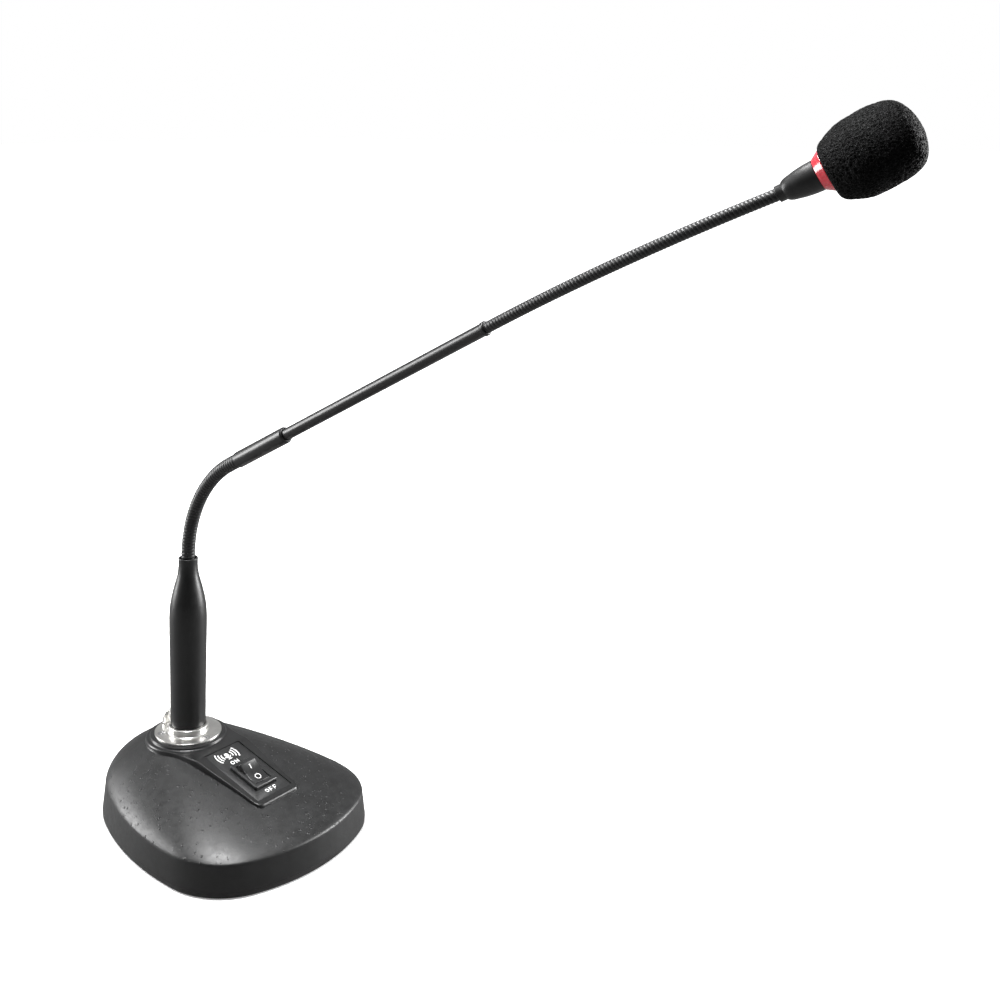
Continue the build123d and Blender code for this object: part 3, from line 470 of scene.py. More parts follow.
# ---------------- form of the base
CORNER_REACH = FRONT_RADIUS - CORNER_RADIUS
FRONT_CENTRE = (BASE_FRONT - FRONT_RADIUS, 0.0)
CORNER_CENTRE = (FRONT_CENTRE[0] + sqrt(CORNER_REACH**2 - CORNER_OFFSET**2), CORNER_OFFSET)
BACK_CENTRE = (BACK_RADIUS - BASE_BACK, 0.0)


def tangent_centre(near, near_reach, far, far_reach):
    """Centre of the side arc, near_reach from near and far_reach from far."""
    span = hypot(far[0] - near[0], far[1] - near[1])
    unit = ((far[0] - near[0]) / span, (far[1] - near[1]) / span)
    along = (near_reach**2 - far_reach**2 + span**2) / (2 * span)
    across = sqrt(near_reach**2 - along**2)
    return (near[0] + along * unit[0] + across * unit[1],
            near[1] + along * unit[1] - across * unit[0])


SIDE_CENTRE = tangent_centre(BACK_CENTRE, SIDE_RADIUS - BACK_RADIUS,
                             CORNER_CENTRE, SIDE_RADIUS - CORNER_RADIUS)


def bearing_of_tangent(centre, radius, inner):
    """Angle, seen from the socket axis, where two arcs meet."""
    reach = hypot(inner[0] - centre[0], inner[1] - centre[1])
    return atan2(centre[1] + radius * (inner[1] - centre[1]) / reach,
                 centre[0] + radius * (inner[0] - centre[0]) / reach)


ARCS = [
    (bearing_of_tangent(FRONT_CENTRE, FRONT_RADIUS, CORNER_CENTRE), FRONT_CENTRE, FRONT_RADIUS),
    (bearing_of_tangent(SIDE_CENTRE, SIDE_RADIUS, CORNER_CENTRE), CORNER_CENTRE, CORNER_RADIUS),
    (bearing_of_tangent(SIDE_CENTRE, SIDE_RADIUS, BACK_CENTRE), SIDE_CENTRE, SIDE_RADIUS),
    (pi, BACK_CENTRE, BACK_RADIUS),
]


def rim_radius(bearing):
    """Distance from the socket axis to the bottom edge; bearing 0 is the front."""
    folded = abs(atan2(sin(bearing), cos(bearing)))
    for limit, centre, radius in ARCS:
        if folded <= limit + 1e-9:
            break
    towards = centre[0] * cos(folded) + centre[1] * sin(folded)
    return towards + sqrt(towards**2 - centre[0]**2 - centre[1]**2 + radius**2)


def dome_point(bearing, travel):
    """(radius, height) on the dome, travel 0 at the crease and 1 at its flat top."""
    crease = rim_radius(bearing) - SKIRT_DRAFT
    fullness = 0.56 + 0.16 * cos(bearing)
    radius = crease * (1 - travel) + DOME_TOP_RADIUS * travel
    return radius, SKIRT_TOP + (DOME_TOP - SKIRT_TOP) * travel**fullness


def dome_height(bearing, radius):
    """Height of the dome at a radius."""
    crease = rim_radius(bearing) - SKIRT_DRAFT
    travel = min(max((crease - radius) / (crease - DOME_TOP_RADIUS), 0.0), 1.0)
    return dome_point(bearing, travel)[1]


def at_bearing(bearing, radius, height):
    return (radius * sin(bearing), -radius * cos(bearing), height)


def swept(name, section_at, sharp):
    """Closed body from a closed section at every bearing round the socket axis."""
    sections = [section_at(bearing) for bearing in BEARINGS]
    rows = len(sections[0])
    points = [at_bearing(bearing, *sections[index][row])
              for row in range(rows) for index, bearing in enumerate(BEARINGS)]
    return new_object(name, points, grid_faces(rows, len(BEARINGS)), sharp)


BEARINGS = [2 * pi * step / 720 for step in range(720)]
EDGE_ROUND, CREASE_ROUND, CREASE_TRAVEL = 0.5, 0.5, 0.006


def shell_section(bearing):
    """Closed section of the shell: up the outside, through the socket hole, down the inside."""
    rim = rim_radius(bearing)
    draft = SKIRT_DRAFT / SKIRT_TOP

    def skirt(height):
        return Vector((rim - draft * height, height))

    section = [skirt(PLATE_TOP) - Vector((EDGE_ROUND, 0)),
               skirt(PLATE_TOP) - Vector((EDGE_ROUND * 0.3, -0.05)),
               skirt(PLATE_TOP + 0.2), skirt(PLATE_TOP + EDGE_ROUND)]
    straight = SKIRT_TOP - PLATE_TOP - EDGE_ROUND - CREASE_ROUND
    section += [skirt(PLATE_TOP + EDGE_ROUND + straight * step / 10) for step in range(1, 11)]
    start, crease = skirt(SKIRT_TOP - CREASE_ROUND), skirt(SKIRT_TOP)
    end = Vector(dome_point(bearing, CREASE_TRAVEL))
    section += [round_off(start, crease, end, step / 6) for step in range(1, 6)]
    for step in range(73):
        travel = CREASE_TRAVEL + (1 - CREASE_TRAVEL) * (step / 72) ** 1.25
        section.append(Vector(dome_point(bearing, travel)))
    section += [Vector((radius, DOME_TOP)) for radius in (18.0, 15.0, SOCKET_HOLE)]
    inner_top = DOME_TOP - ROOF
    section += [Vector((SOCKET_HOLE, inner_top))]
    for step in range(12, -1, -1):
        radius, height = dome_point(bearing, step / 12)
        section.append(Vector((radius - WALL, height - ROOF)))
    section.append(Vector((rim - draft * (PLATE_TOP + ROOF) - WALL, PLATE_TOP)))
    return section


# ---------------- control panel
def slope_height(forward):
    return PANEL_HEIGHT - max(forward - SLOPE_START, 0) * tan(SLOPE)


def eased_slope(forward):
    """Height of the panel's top, with the break before the slope slightly rounded."""
    blend = 1.5
    past = forward - SLOPE_START
    if past < -blend:
        return PANEL_HEIGHT
    if past > blend:
        return PANEL_HEIGHT - past * tan(SLOPE)
    return PANEL_HEIGHT - tan(SLOPE) * (past + blend) ** 2 / (4 * blend)


def panel_outline():
    """Teardrop outline from the back round one side to the front, as (across, forward) points."""
    shoulder = radians(68)
    start = Vector((PANEL_BACK_RADIUS * sin(shoulder), PANEL_BACK_RADIUS * cos(shoulder)))
    waist = Vector((PANEL_WAIST[1], PANEL_WAIST[0]))
    corner = Vector((PANEL_FRONT_HALF_WIDTH, PANEL_FRONT))
    flank = through([start, waist, corner], (-cos(shoulder), sin(shoulder)), (-0.05, 1), 40)
    cut = 3.5
    nose = [point for point in flank if point.y < PANEL_FRONT - cut]
    begin, end = nose[-1], Vector((PANEL_FRONT_HALF_WIDTH - cut, PANEL_FRONT))
    nose += [round_off(begin, corner, end, step / 12) for step in range(1, 13)]
    nose += [Vector((end.x * (1 - step / 12), PANEL_FRONT)) for step in range(1, 13)]
    back = [Vector((PANEL_BACK_RADIUS * sin(angle), PANEL_BACK_RADIUS * cos(angle)))
            for angle in np.linspace(pi, shoulder, 90)[:-1]]
    return back + nose


OUTLINE = panel_outline()
OUTLINE_BEARINGS = np.array([atan2(point.x, point.y) for point in OUTLINE][::-1])
OUTLINE_RADII = np.array([point.length for point in OUTLINE][::-1])


def panel_radius(bearing):
    folded = abs(atan2(sin(bearing), cos(bearing)))
    return float(np.interp(folded, OUTLINE_BEARINGS, OUTLINE_RADII))


BOSS_RADIUS, BOSS_TOP = 20.0, FLANGE_TOP - 1.0
LIP_ROUND = 1.1


def panel_section(bearing):
    """Closed section of the panel: up the side, in to the boss, down the hole, back underneath."""
    edge = panel_radius(bearing)

    def top(radius):
        return eased_slope(radius * cos(bearing))

    foot = dome_height(bearing, edge) - 0.9
    side_top = top(edge) - LIP_ROUND
    section = [(edge + 0.55, foot), (edge + 0.28, foot + 0.9),
               (edge + 0.06, (foot + side_top) / 2 + 0.3), (edge, side_top)]
    for step in range(1, 7):
        angle = radians(15 * step)
        radius = edge - LIP_ROUND * (1 - cos(angle))
        section.append((radius, top(radius) - LIP_ROUND * (1 - sin(angle))))
    inner, outer = BOSS_RADIUS + 1.15, edge - LIP_ROUND - 0.05
    for step in range(1, 49):
        radius = outer + (inner - outer) * step / 48
        section.append((radius, top(radius)))
    for step in range(1, 7):
        angle = radians(15 * step)
        section.append((inner - 1.1 * sin(angle), PANEL_HEIGHT + 1.0 * (1 - cos(angle)) * 0.95))
    section += [(BOSS_RADIUS, BOSS_TOP - 0.3), (BOSS_RADIUS - 0.1, BOSS_TOP - 0.1),
                (BOSS_RADIUS - 0.3, BOSS_TOP), (SOCKET_HOLE, BOSS_TOP),
                (SOCKET_HOLE, DOME_TOP + 0.05), (BOSS_RADIUS - 0.4, DOME_TOP + 0.05)]
    for step in range(1, 13):
        radius = BOSS_RADIUS - 0.4 + (edge - 0.8 - BOSS_RADIUS + 0.4) * step / 12
        section.append((radius, min(dome_height(bearing, radius) - 1.2, DOME_TOP - 0.8)))
    return section


# Plane of the switch: x to the right, y up the slope, z out of the panel
SWITCH_PLACE = (Matrix.Translation((0, -SWITCH_CENTRE, slope_height(SWITCH_CENTRE)))
                @ Matrix.Rotation(SLOPE, 4, "X"))
LABEL_RUN = LABEL_LENGTH / cos(SLOPE)
LABEL_SHIFT = -(SLOPE_START + LABEL_LENGTH / 2 - SWITCH_CENTRE) / cos(SLOPE)
LABEL_PLACE = SWITCH_PLACE @ Matrix.Translation((0, LABEL_SHIFT, 0))
JACK_HEIGHT = 9.6
JACK_POCKET = Matrix.Translation((0, 41.6, JACK_HEIGHT)) @ Matrix.Rotation(-pi / 2, 4, "X")
LATCH_PLACE = Matrix.Translation((0, 15.2, 0))
LATCH_SLOT = (9.8, 2.0, 27, 40, LATCH_PLACE)

base_shell = swept("base_shell", shell_section, 40)
carve(
    base_shell,
    box_cutter(15.0, 21.5, -14, 8, SWITCH_PLACE),
    box_cutter(*LATCH_SLOT),
    box_cutter(16, 13.2, 0, 8, JACK_POCKET, 2.0),
    turned("cutter", [(0, 30), (4.6, 30), (4.6, 45), (0, 45)], (0, 0, JACK_HEIGHT), (0, 1, 0), 48),
    sharp=40,
)
dressed(base_shell, "cast_paint", "base", ("base_housing",))

panel_cover = swept("panel_cover", panel_section, 34)
carve(
    panel_cover,
    box_cutter(LABEL_WIDTH + 0.2, LABEL_RUN + 0.2, -LABEL_RECESS - 0.6, 8, LABEL_PLACE, 0.5),
    box_cutter(13.1, 19.2, -14, 8, SWITCH_PLACE),
    box_cutter(*LATCH_SLOT),
    sharp=34,
)
dressed(panel_cover, "panel_plastic", "base", ("control_panel",))

for node, width, body in (
    ("label_plate", 0.12, "base"), ("switch_body", 0.22, "base"), ("latch_tab", 0.25, "latch"),
    ("flange_screws", 0.08, "base"), ("output_jack", 0.15, "base"), ("jack_nut", 0.25, "base"),
    ("battery_door", 0.2, "battery_door"), ("bottom_screws", 0.1, "base"),
):
    refined(node, width, body)

# ---------------- socket flange
flange = turned("flange_ring", softened([
    (PLUG_BORE, 17.0, 0.2), (11.8, 17.0, 0.2), (11.8, FLANGE_TOP - 1.0, 0),
    (FLANGE_RADIUS, FLANGE_TOP - 1.0, 0.1), (FLANGE_RADIUS, FLANGE_TOP, 0.35),
    (COLLAR_RADIUS + 0.05, FLANGE_TOP, 1.3),
    (COLLAR_RADIUS - 0.1, FLANGE_TOP + COLLAR_HEIGHT, 0.95),
    (PLUG_BORE, FLANGE_TOP + COLLAR_HEIGHT - 0.05, 0.3),
], 8), around=192)
countersinks = []
for turn in (0, 120, 240):
    spot = Matrix.Rotation(radians(turn), 4, "Z") @ Vector((0, -14.2, 0))
    countersinks.append(turned("cutter", [
        (0, FLANGE_TOP - 3), (1.3, FLANGE_TOP - 3), (1.3, FLANGE_TOP - 1.05),
        (2.5, FLANGE_TOP + 0.15), (2.5, FLANGE_TOP + 1), (0, FLANGE_TOP + 1),
    ], spot, (0, 0, 1), 48))
carve(flange, box_cutter(*LATCH_SLOT), *countersinks, sharp=30)
dressed(flange, "nickel", "base", ("socket_flange",))

# ---------------- rocker
PIVOT_LIFT = -LABEL_RECESS + BEZEL_HEIGHT - 0.4 - PIVOT_DEPTH
ROCKER_PLACE = SWITCH_PLACE @ Matrix.Translation((0, 0, PIVOT_LIFT))
ROCKER_TILT = ROCKER_PLACE @ Matrix.Rotation(ROCKER_THROW, 4, "X")


def rocker_top(run):
    """Height of the rocker's hollow top face above its pivot at a distance along it."""
    radius = ((ROCKER_LENGTH / 2) ** 2 + ROCKER_SAG**2) / (2 * ROCKER_SAG)
    return ROCKER_EDGE - ROCKER_SAG + radius - sqrt(radius**2 - run**2)


def rocker():
    """Rocker with a hollow top: its side profile is drawn level, then tilted to OFF."""
    half = ROCKER_LENGTH / 2
    top = [(run, rocker_top(run)) for run in np.linspace(-half, half, 25)]
    reach = hypot(half, ROCKER_EDGE)
    end = [(sqrt(reach**2 - rise**2), rise) for rise in np.linspace(ROCKER_EDGE, 0.5, 7)[1:]]
    profile = top + end + [(4.5, -3.5), (-4.5, -3.5)]
    profile += [(-run, rise) for run, rise in reversed(end)]
    points = []
    for side in (-ROCKER_WIDTH / 2, ROCKER_WIDTH / 2):
        points += [ROCKER_TILT @ Vector((side, run, rise)) for run, rise in profile]
    obj = new_object("rocker_key", points, prism_faces(len(profile)))
    work = bmesh.new()
    work.from_mesh(obj.data)
    hard = [edge for edge in work.edges if edge.calc_face_angle() > radians(25)]
    round_edges(work, hard, 0.3, 3)
    work.to_mesh(obj.data)
    work.free()
    obj.data.shade_smooth()
    obj.data.set_sharp_from_angle(angle=radians(35))
    return obj


dressed(rocker(), "switch_plastic", "rocker", ("rocker",))


# ---------------- printed marks
def slab(name, loops, surface_point, body, thickness=0.05):
    """Thin raised print from closed strips: each strip is two matching lines of (x, y) points."""
    points, faces = [], []
    for left, right, closed in loops:
        start, count = len(points), len(left)
        for line in (left, right):
            for lift in (thickness, -thickness):
                points += [surface_point(x, y, lift) for x, y in line]
        bands = ((0, 2 * count), (2 * count, 3 * count), (3 * count, count), (count, 0))
        for first, second in bands:
            for step in range(count if closed else count - 1):
                ahead = (step + 1) % count
                faces.append((start + first + step, start + first + ahead,
                              start + second + ahead, start + second + step))
        if not closed:
            for end in (start, start + count - 1):
                faces.append(tuple(end + block for block in (0, 2 * count, 3 * count, count)))
    obj = new_object(name, points, faces)
    return dressed(obj, "label" if body == "base" else "switch_plastic", body, paint="print_white")


def stroke(line, width, closed=False):
    """Strip of a given width along a line of (x, y) points."""
    line = [Vector(point) for point in line]
    left, right = [], []
    for index, point in enumerate(line):
        before = line[index - 1] if index or closed else point
        after = line[(index + 1) % len(line)] if index + 1 < len(line) or closed else point
        run = (after - before).normalized()
        normal = Vector((-run.y, run.x)) * (width / 2)
        left.append(tuple(point + normal))
        right.append(tuple(point - normal))
    return left, right, closed


def arc(centre, radius, start, end, steps=24, stretch=1.0):
    return [(centre[0] + radius * cos(radians(start + (end - start) * step / steps)),
             centre[1] + radius * stretch * sin(radians(start + (end - start) * step / steps)))
            for step in range(steps + 1)]


def ring_mark(centre, radius, width, stretch=1.0):
    return stroke(arc(centre, radius, 0, 360, 36, stretch)[:-1], width, True)


def letters(word, centre, height, width, pitch, bold):
    """Strokes for a word made of O, N and F."""
    marks = []
    first = centre[0] - pitch * (len(word) - 1) / 2
    for index, letter in enumerate(word):
        middle = first + index * pitch
        low, high = centre[1] - height / 2, centre[1] + height / 2
        left, right = middle - width / 2, middle + width / 2
        if letter == "O":
            inset = (height - bold) / (width - bold)
            marks.append(ring_mark((middle, centre[1]), (width - bold) / 2, bold, inset))
            continue
        half = bold / 2
        marks.append(stroke([(left + half, low), (left + half, high)], bold))
        if letter == "N":
            marks.append(stroke([(right - half, low), (right - half, high)], bold))
            slant = [(left + half, high - half), (right - half, low + half)]
            marks.append(stroke(slant, bold * 1.15))
        else:
            marks.append(stroke([(left, high - half), (right, high - half)], bold))
            marks.append(stroke([(left, centre[1] - half), (right - 0.45, centre[1] - half)], bold))
    return marks


def on_label(x, y, lift):
    """Point above the label plate: x to the right, y up the slope from the middle of the switch."""
    return SWITCH_PLACE @ Vector((x, y, -LABEL_RECESS + lift))


def on_rocker(x, y, lift):
    return ROCKER_TILT @ Vector((x, y, rocker_top(y) + lift))


def microphone_sign(middle):
    """Generic sign of a microphone with sound waves."""
    x, y = middle
    capsule = arc((x, y + 0.75), 0.85, 0, 180, 12) + arc((x, y - 0.1), 0.85, 180, 360, 12)
    waves = [stroke(arc((x, y), reach, facing - 33, facing + 33, 16), 0.62)
             for reach in (3.2, 4.9, 6.6) for facing in (0, 180)]
    body = [stroke([(x, y - 0.95 + 0.1 * step) for step in range(0, 28)], 1.5)]
    return [
        *body,
        stroke(capsule, 0.5, True),
        stroke(arc((x, y + 0.1), 1.85, 200, 340, 20), 0.45),
        stroke([(x, y - 1.7), (x, y - 2.7)], 0.45),
        stroke([(x - 1.2, y - 2.75), (x + 1.2, y - 2.75)], 0.5),
        *waves,
    ]


slab("print_on", letters("ON", (-0.9, 13.0), 2.5, 2.2, 2.9, 0.44), on_label, "base")
slab("print_off", letters("OFF", (0.5, -13.1), 2.5, 2.0, 2.7, 0.44), on_label, "base")
slab("print_sign", microphone_sign((-1.0, 19.0)), on_label, "base")
slab("rocker_mark_on", [stroke([(0, 4.9), (0, 2.5)], 0.4)], on_rocker, "rocker", 0.04)
slab("rocker_mark_off", [ring_mark((0, -2.9), 1.5, 0.36)], on_rocker, "rocker", 0.04)


# ---------------- gooseneck path
def direction(elevation, swing):
    level = cos(elevation)
    return Vector((level * sin(swing), -level * cos(swing), sin(elevation)))


def bent_path(start, along, inward, radius, length):
    """Path that leaves start along a direction, bends inward for a length, then runs straight."""
    def at(distance):
        """Middle, direction and inward direction at a distance along the path."""
        turned_by = max(min(distance, length), 0) / radius
        middle = start + along * (radius * sin(turned_by))
        middle += inward * (radius * (1 - cos(turned_by)))
        ahead = along * cos(turned_by) + inward * sin(turned_by)
        across = inward * cos(turned_by) - along * sin(turned_by)
        return middle + ahead * (distance - turned_by * radius), ahead, across
    return at


LOWER_ARC = LOWER_BEND * LOWER_BEND_RADIUS
LOWER_LENGTH = LOWER_ARC + LOWER_STRAIGHT
lower_at = bent_path(Vector((0, 0, HANDLE_TOP)), Vector((0, 0, 1)), Vector((0, -1, 0)),
                     LOWER_BEND_RADIUS, LOWER_ARC)
ARM_START = lower_at(LOWER_LENGTH)[0]
ARM_ALONG = direction(pi / 2 - LOWER_BEND, 0)
ARM_END = ARM_START + ARM_ALONG * ARM_LENGTH
HEAD_ALONG = direction(HEAD_ELEVATION, HEAD_SWING)
FLEX_ALONG = direction(FLEX_ELEVATION, HEAD_SWING)
UPPER_TURN = acos(ARM_ALONG.dot(FLEX_ALONG))
UPPER_BEND_RADIUS = UPPER_LENGTH / UPPER_TURN
UPPER_INWARD = (FLEX_ALONG - ARM_ALONG * cos(UPPER_TURN)).normalized()
upper_at = bent_path(ARM_END, ARM_ALONG, UPPER_INWARD, UPPER_BEND_RADIUS, UPPER_LENGTH)
HEAD_START = upper_at(UPPER_LENGTH)[0]


ROWS_A_TURN = 9
CROWN = 0.97  # how far round each turn of the wire is followed before the next one begins


def wound(name, path, start, end, radius, bore, pitch, depth, around):
    """Closed piece of wound flexible tube: round turns of wire in relief along a helix."""
    rows = max(int(round((end - start) / pitch * ROWS_A_TURN)), 2)
    angles = np.arange(around) * 2 * pi / around
    points, normals = [], []
    for row in range(rows + 1):
        distance = start + (end - start) * row / rows
        middle, along, inward = (np.array(v) for v in path(distance))
        other = np.cross(along, inward)
        phase = (distance / pitch - angles / (2 * pi)) % 1.0
        offset = 2 * phase - 1
        crown = np.sqrt(1 - CROWN * offset**2)
        steepness = -CROWN * offset / crown * 2
        reach = radius - depth + depth * crown
        outward = np.outer(np.cos(angles), inward) + np.outer(np.sin(angles), other)
        tangent = np.outer(-np.sin(angles), inward) + np.outer(np.cos(angles), other)
        points.append(middle + outward * reach[:, None])
        normal = outward - np.outer(depth * steepness / pitch, along)
        normal += tangent * (depth * steepness / (2 * pi) / reach)[:, None]
        normals.append(normal / np.linalg.norm(normal, axis=1)[:, None])
    outside = (rows + 1) * around
    inner_rows = max(rows // ROWS_A_TURN, 1)
    for row in range(inner_rows, -1, -1):
        distance = start + (end - start) * row / inner_rows
        middle, along, inward = (np.array(v) for v in path(distance))
        other = np.cross(along, inward)
        outward = np.outer(np.cos(angles), inward) + np.outer(np.sin(angles), other)
        points.append(middle + outward * bore)
    count = rows + inner_rows + 2
    mesh = bpy.data.meshes.new(name)
    mesh.from_pydata((np.concatenate(points) * MM).tolist(), [], grid_faces(count, around))
    mesh.shade_smooth()
    outer_normals = np.concatenate(normals)
    corner_normals = []
    for polygon in mesh.polygons:
        plain = tuple(polygon.normal)
        on_outside = all(vertex < outside for vertex in polygon.vertices)
        for vertex in polygon.vertices:
            corner_normals.append(tuple(outer_normals[vertex]) if on_outside else plain)
    mesh.normals_split_custom_set(corner_normals)
    return linked(name, mesh)


def flex(prefix, path, length, hinges, before, after, bodies, **shape):
    """Flexible tube in one piece per hinge, each running between the two links it joins."""
    pitch = length / hinges
    for hinge in range(hinges):
        start = -before if hinge == 0 else hinge * pitch
        end = length + after if hinge == hinges - 1 else (hinge + 1) * pitch
        piece = wound(f"{prefix}_{hinge + 1}", path, start, end, **shape)
        stands_for = [f"{prefix}_root"] if hinge == 0 else [f"{prefix}_link_{hinge}"]
        if hinge == hinges - 1:
            stands_for.append(f"{prefix}_tip")
        dressed(piece, "flex_paint", None, stands_for)
        path(hinge * pitch)[0] * MM
        path((hinge + 1) * pitch)[0] * MM
        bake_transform(piece)


flex("lower_flex", lower_at, LOWER_LENGTH, LOWER_HINGES, 20.0, 8.0,
     ["plug_and_handle", *[f"lower_link_{link}" for link in range(1, LOWER_HINGES)], "arm"],
     radius=LOWER_RADIUS, bore=LOWER_BORE, pitch=1.83, depth=0.42, around=48)
flex("upper_flex", upper_at, UPPER_LENGTH, UPPER_HINGES, 6.0, 3.0,
     ["arm", *[f"upper_link_{link}" for link in range(1, UPPER_HINGES)], "head"],
     radius=UPPER_RADIUS, bore=UPPER_BORE, pitch=1.75, depth=0.28, around=40)

# ---------------- handle, ferrule and tube
foot = FLANGE_TOP + COLLAR_HEIGHT + 0.15
bottle = [(radius, FLANGE_TOP + rise) for radius, rise in (
    (9.7, 35), (10.08, 58), (9.9, 64.5), (9.15, 70.4), (7.6, 76.9), (5.8, 83.3), (5.22, 88))]
outside = through([(9.45, foot + 0.35), *bottle, (5.3, HANDLE_TOP - 0.45)], (0, 1), (0.05, 1))
mouth = [(5.3 - 0.4 * (1 - cos(radians(angle))), HANDLE_TOP - 0.45 + 0.45 * sin(radians(angle)))
         for angle in (25, 50, 75, 90)]
mouth += [(4.6, HANDLE_TOP), (4.4, HANDLE_TOP - 0.12), (4.3, HANDLE_TOP - 0.4)]
hollow = [(4.3, FLANGE_TOP + 84), (8.6, FLANGE_TOP + 66),
          (8.6, foot), (9.2, foot), (9.38, foot + 0.1)]
handle = turned("handle_body", [*outside, *mouth, *hollow], around=128)
dressed(handle, "handle_paint", "plug_and_handle", ("handle",))

ferrule = turned("ferrule_sleeve", softened([
    (3.83, 0, 0), (4.0, 0, 0), (FERRULE_RADIUS, 0, 0.15),
    (FERRULE_RADIUS, FERRULE_LENGTH - 1.1, 0.25), (FERRULE_RADIUS - 0.55, FERRULE_LENGTH, 0.15),
    (3.3, FERRULE_LENGTH, 0.1), (3.3, FERRULE_LENGTH - 1.2, 0),
    (3.02, FERRULE_LENGTH - 1.2, 0), (3.02, 13.4, 0), (3.83, 13.4, 0),
]), ARM_START, ARM_ALONG, 96)
dressed(ferrule, "arm_paint", "arm", ("ferrule",))

RIM_START = ARM_LENGTH - 2.4
tube = turned("arm_tube", softened([
    (TUBE_RADIUS, 13.8, 0), (TUBE_RADIUS, RIM_START, 0.15),
    (TUBE_RADIUS + 0.35, RIM_START + 0.45, 0.15), (TUBE_RADIUS + 0.35, ARM_LENGTH - 0.35, 0.2),
    (TUBE_RADIUS - 0.05, ARM_LENGTH, 0.1), (2.65, ARM_LENGTH, 0),
    (2.65, ARM_LENGTH - 12.5, 0), (2.3, ARM_LENGTH - 12.5, 0), (2.3, 13.8, 0),
]), ARM_START, ARM_ALONG, 96)
dressed(tube, "arm_paint", "arm", ("tube",))

# ---------------- microphone head
cone_side = through([(3.85, 3.3), (5.2, 7.6), (6.0, 12.5), (CONE_FRONT - 0.08, CONE_LENGTH - 0.2)],
                    (0.75, 1), (0.08, 1), 10)
cone = turned("cone_body", [
    (2.95, 0), (3.15, 0), (3.3, 0.1), (3.35, 0.35), (3.35, 2.85), (3.4, 2.97), (3.65, 3.02),
    *cone_side, (CONE_FRONT - 0.25, CONE_LENGTH), (5.55, CONE_LENGTH), (5.55, 13.8), (4.2, 13.8),
    (4.2, 7.5), (2.95, 7.5),
], HEAD_START, HEAD_ALONG, 128)
dressed(cone, "cone_paint", "head", ("mic_cone",))

ring = turned("glow_ring", softened([
    (HOLDER_RADIUS + 0.1, CONE_LENGTH + 0.05, 0), (CONE_FRONT - 0.1, CONE_LENGTH + 0.05, 0.12),
    (7.9, CONE_LENGTH + 2.55, 1.1), (RING_FRONT, RING_END - 0.25, 0.2),
    (RING_FRONT - 0.1, RING_END, 0.06), (HOLDER_RADIUS + 0.1, RING_END, 0),
], 8), HEAD_START, HEAD_ALONG, 128)
dressed(ring, "light_ring", "head", ("led_ring",))


def cell_distances(points, size, seed):
    """Distances, in cells, to the nearest two of the centres scattered one to a cell."""
    scaled = points / size
    home = np.floor(scaled).astype(np.int64)
    nearest = np.full(len(points), 9.0)
    second = np.full(len(points), 9.0)
    for step in np.ndindex(3, 3, 3):
        cell = home + np.array(step) - 1
        key = cell[:, 0] * 73856093 ^ cell[:, 1] * 19349663
        key = key ^ cell[:, 2] * 83492791 ^ seed * 2654435761
        centre = np.empty(scaled.shape)
        for axis in range(3):
            key = (key ^ (key >> 15)) * 2246822519 & 0xFFFFFFFF
            key = (key ^ (key >> 13)) * 3266489917 & 0xFFFFFFFF
            centre[:, axis] = cell[:, axis] + key / 4294967296
        gap = np.linalg.norm(scaled - centre, axis=1)
        second = np.minimum(second, np.maximum(gap, nearest))
        nearest = np.minimum(nearest, gap)
    return nearest, second


def windscreen():
    """Egg-shaped foam cap with its open cells in relief, hollow for the capsule."""
    start = RING_END + 0.05
    skin = through([(RING_FRONT + 1.4, start), (12.6, RING_END + 2.7),
                    (FOAM_RADIUS, RING_END + 13.5), (13.4, RING_END + 33.1),
                    (0, RING_END + FOAM_LENGTH)], (1, 0.4), (-1, 0), 40)
    profile = []
    for before, after in zip(skin, skin[1:]):
        pieces = max(int((after - before).length / 0.28), 1)
        profile += [before.lerp(after, step / pieces) for step in range(pieces)]
    profile.append(skin[-1])
    bore, floor_at = HOLDER_RADIUS + 0.1, HOLDER_END + 1.4
    profile += [Vector((0.0, floor_at)), Vector((bore, floor_at)), Vector((bore, start))]
    obj = turned("foam_windscreen", profile, HEAD_START, HEAD_ALONG, 340, 180)
    mesh = obj.data
    co = np.empty(len(mesh.vertices) * 3, np.float32)
    normal = np.empty(len(mesh.vertices) * 3, np.float32)
    mesh.vertices.foreach_get("co", co)
    mesh.vertex_normals.foreach_get("vector", normal)
    co, normal = co.reshape(-1, 3).astype(float) / MM, normal.reshape(-1, 3).astype(float)
    axis = np.array(HEAD_ALONG)
    offset = co - np.array(HEAD_START)
    distance = offset @ axis
    reach = np.linalg.norm(offset - np.outer(distance, axis), axis=1)
    on_skin = (reach > bore + 0.2) | (distance > HOLDER_END + 3)
    near_edge = np.clip((distance - start) / 1.2, 0, 1)
    relief = np.zeros(len(co))
    for size, depth, seed in ((1.5, 0.36, 3), (0.8, 0.20, 8)):
        nearest, second = cell_distances(co, size, seed)
        ridge = np.clip((second - nearest) / 0.45, 0, 1)
        relief -= depth * ridge**1.3
    relief += 0.25 * (0.5 - cell_distances(co, 9.0, 5)[0])
    co += normal * (relief * near_edge * on_skin)[:, None]
    # The cap sits slightly askew: low at the light ring, high at its front
    lean = (-1.3 + 1.8 * np.clip((distance - start) / FOAM_LENGTH, 0, 1)) * on_skin
    co += np.outer(lean, np.array(axes_for(HEAD_ALONG)[1]))
    mesh.vertices.foreach_set("co", (co * MM).astype(np.float32).ravel())
    mesh.update()
    return obj


dressed(windscreen(), "foam", "windscreen", ("windscreen",))

# ---------------- carried-over CAD nodes
for node, obj in frame["nodes"].items():
    if obj.hide_render:
        continue
    obj.data.materials.clear()
    obj.data.materials.append(MATERIALS[SLOT_OF[node]])

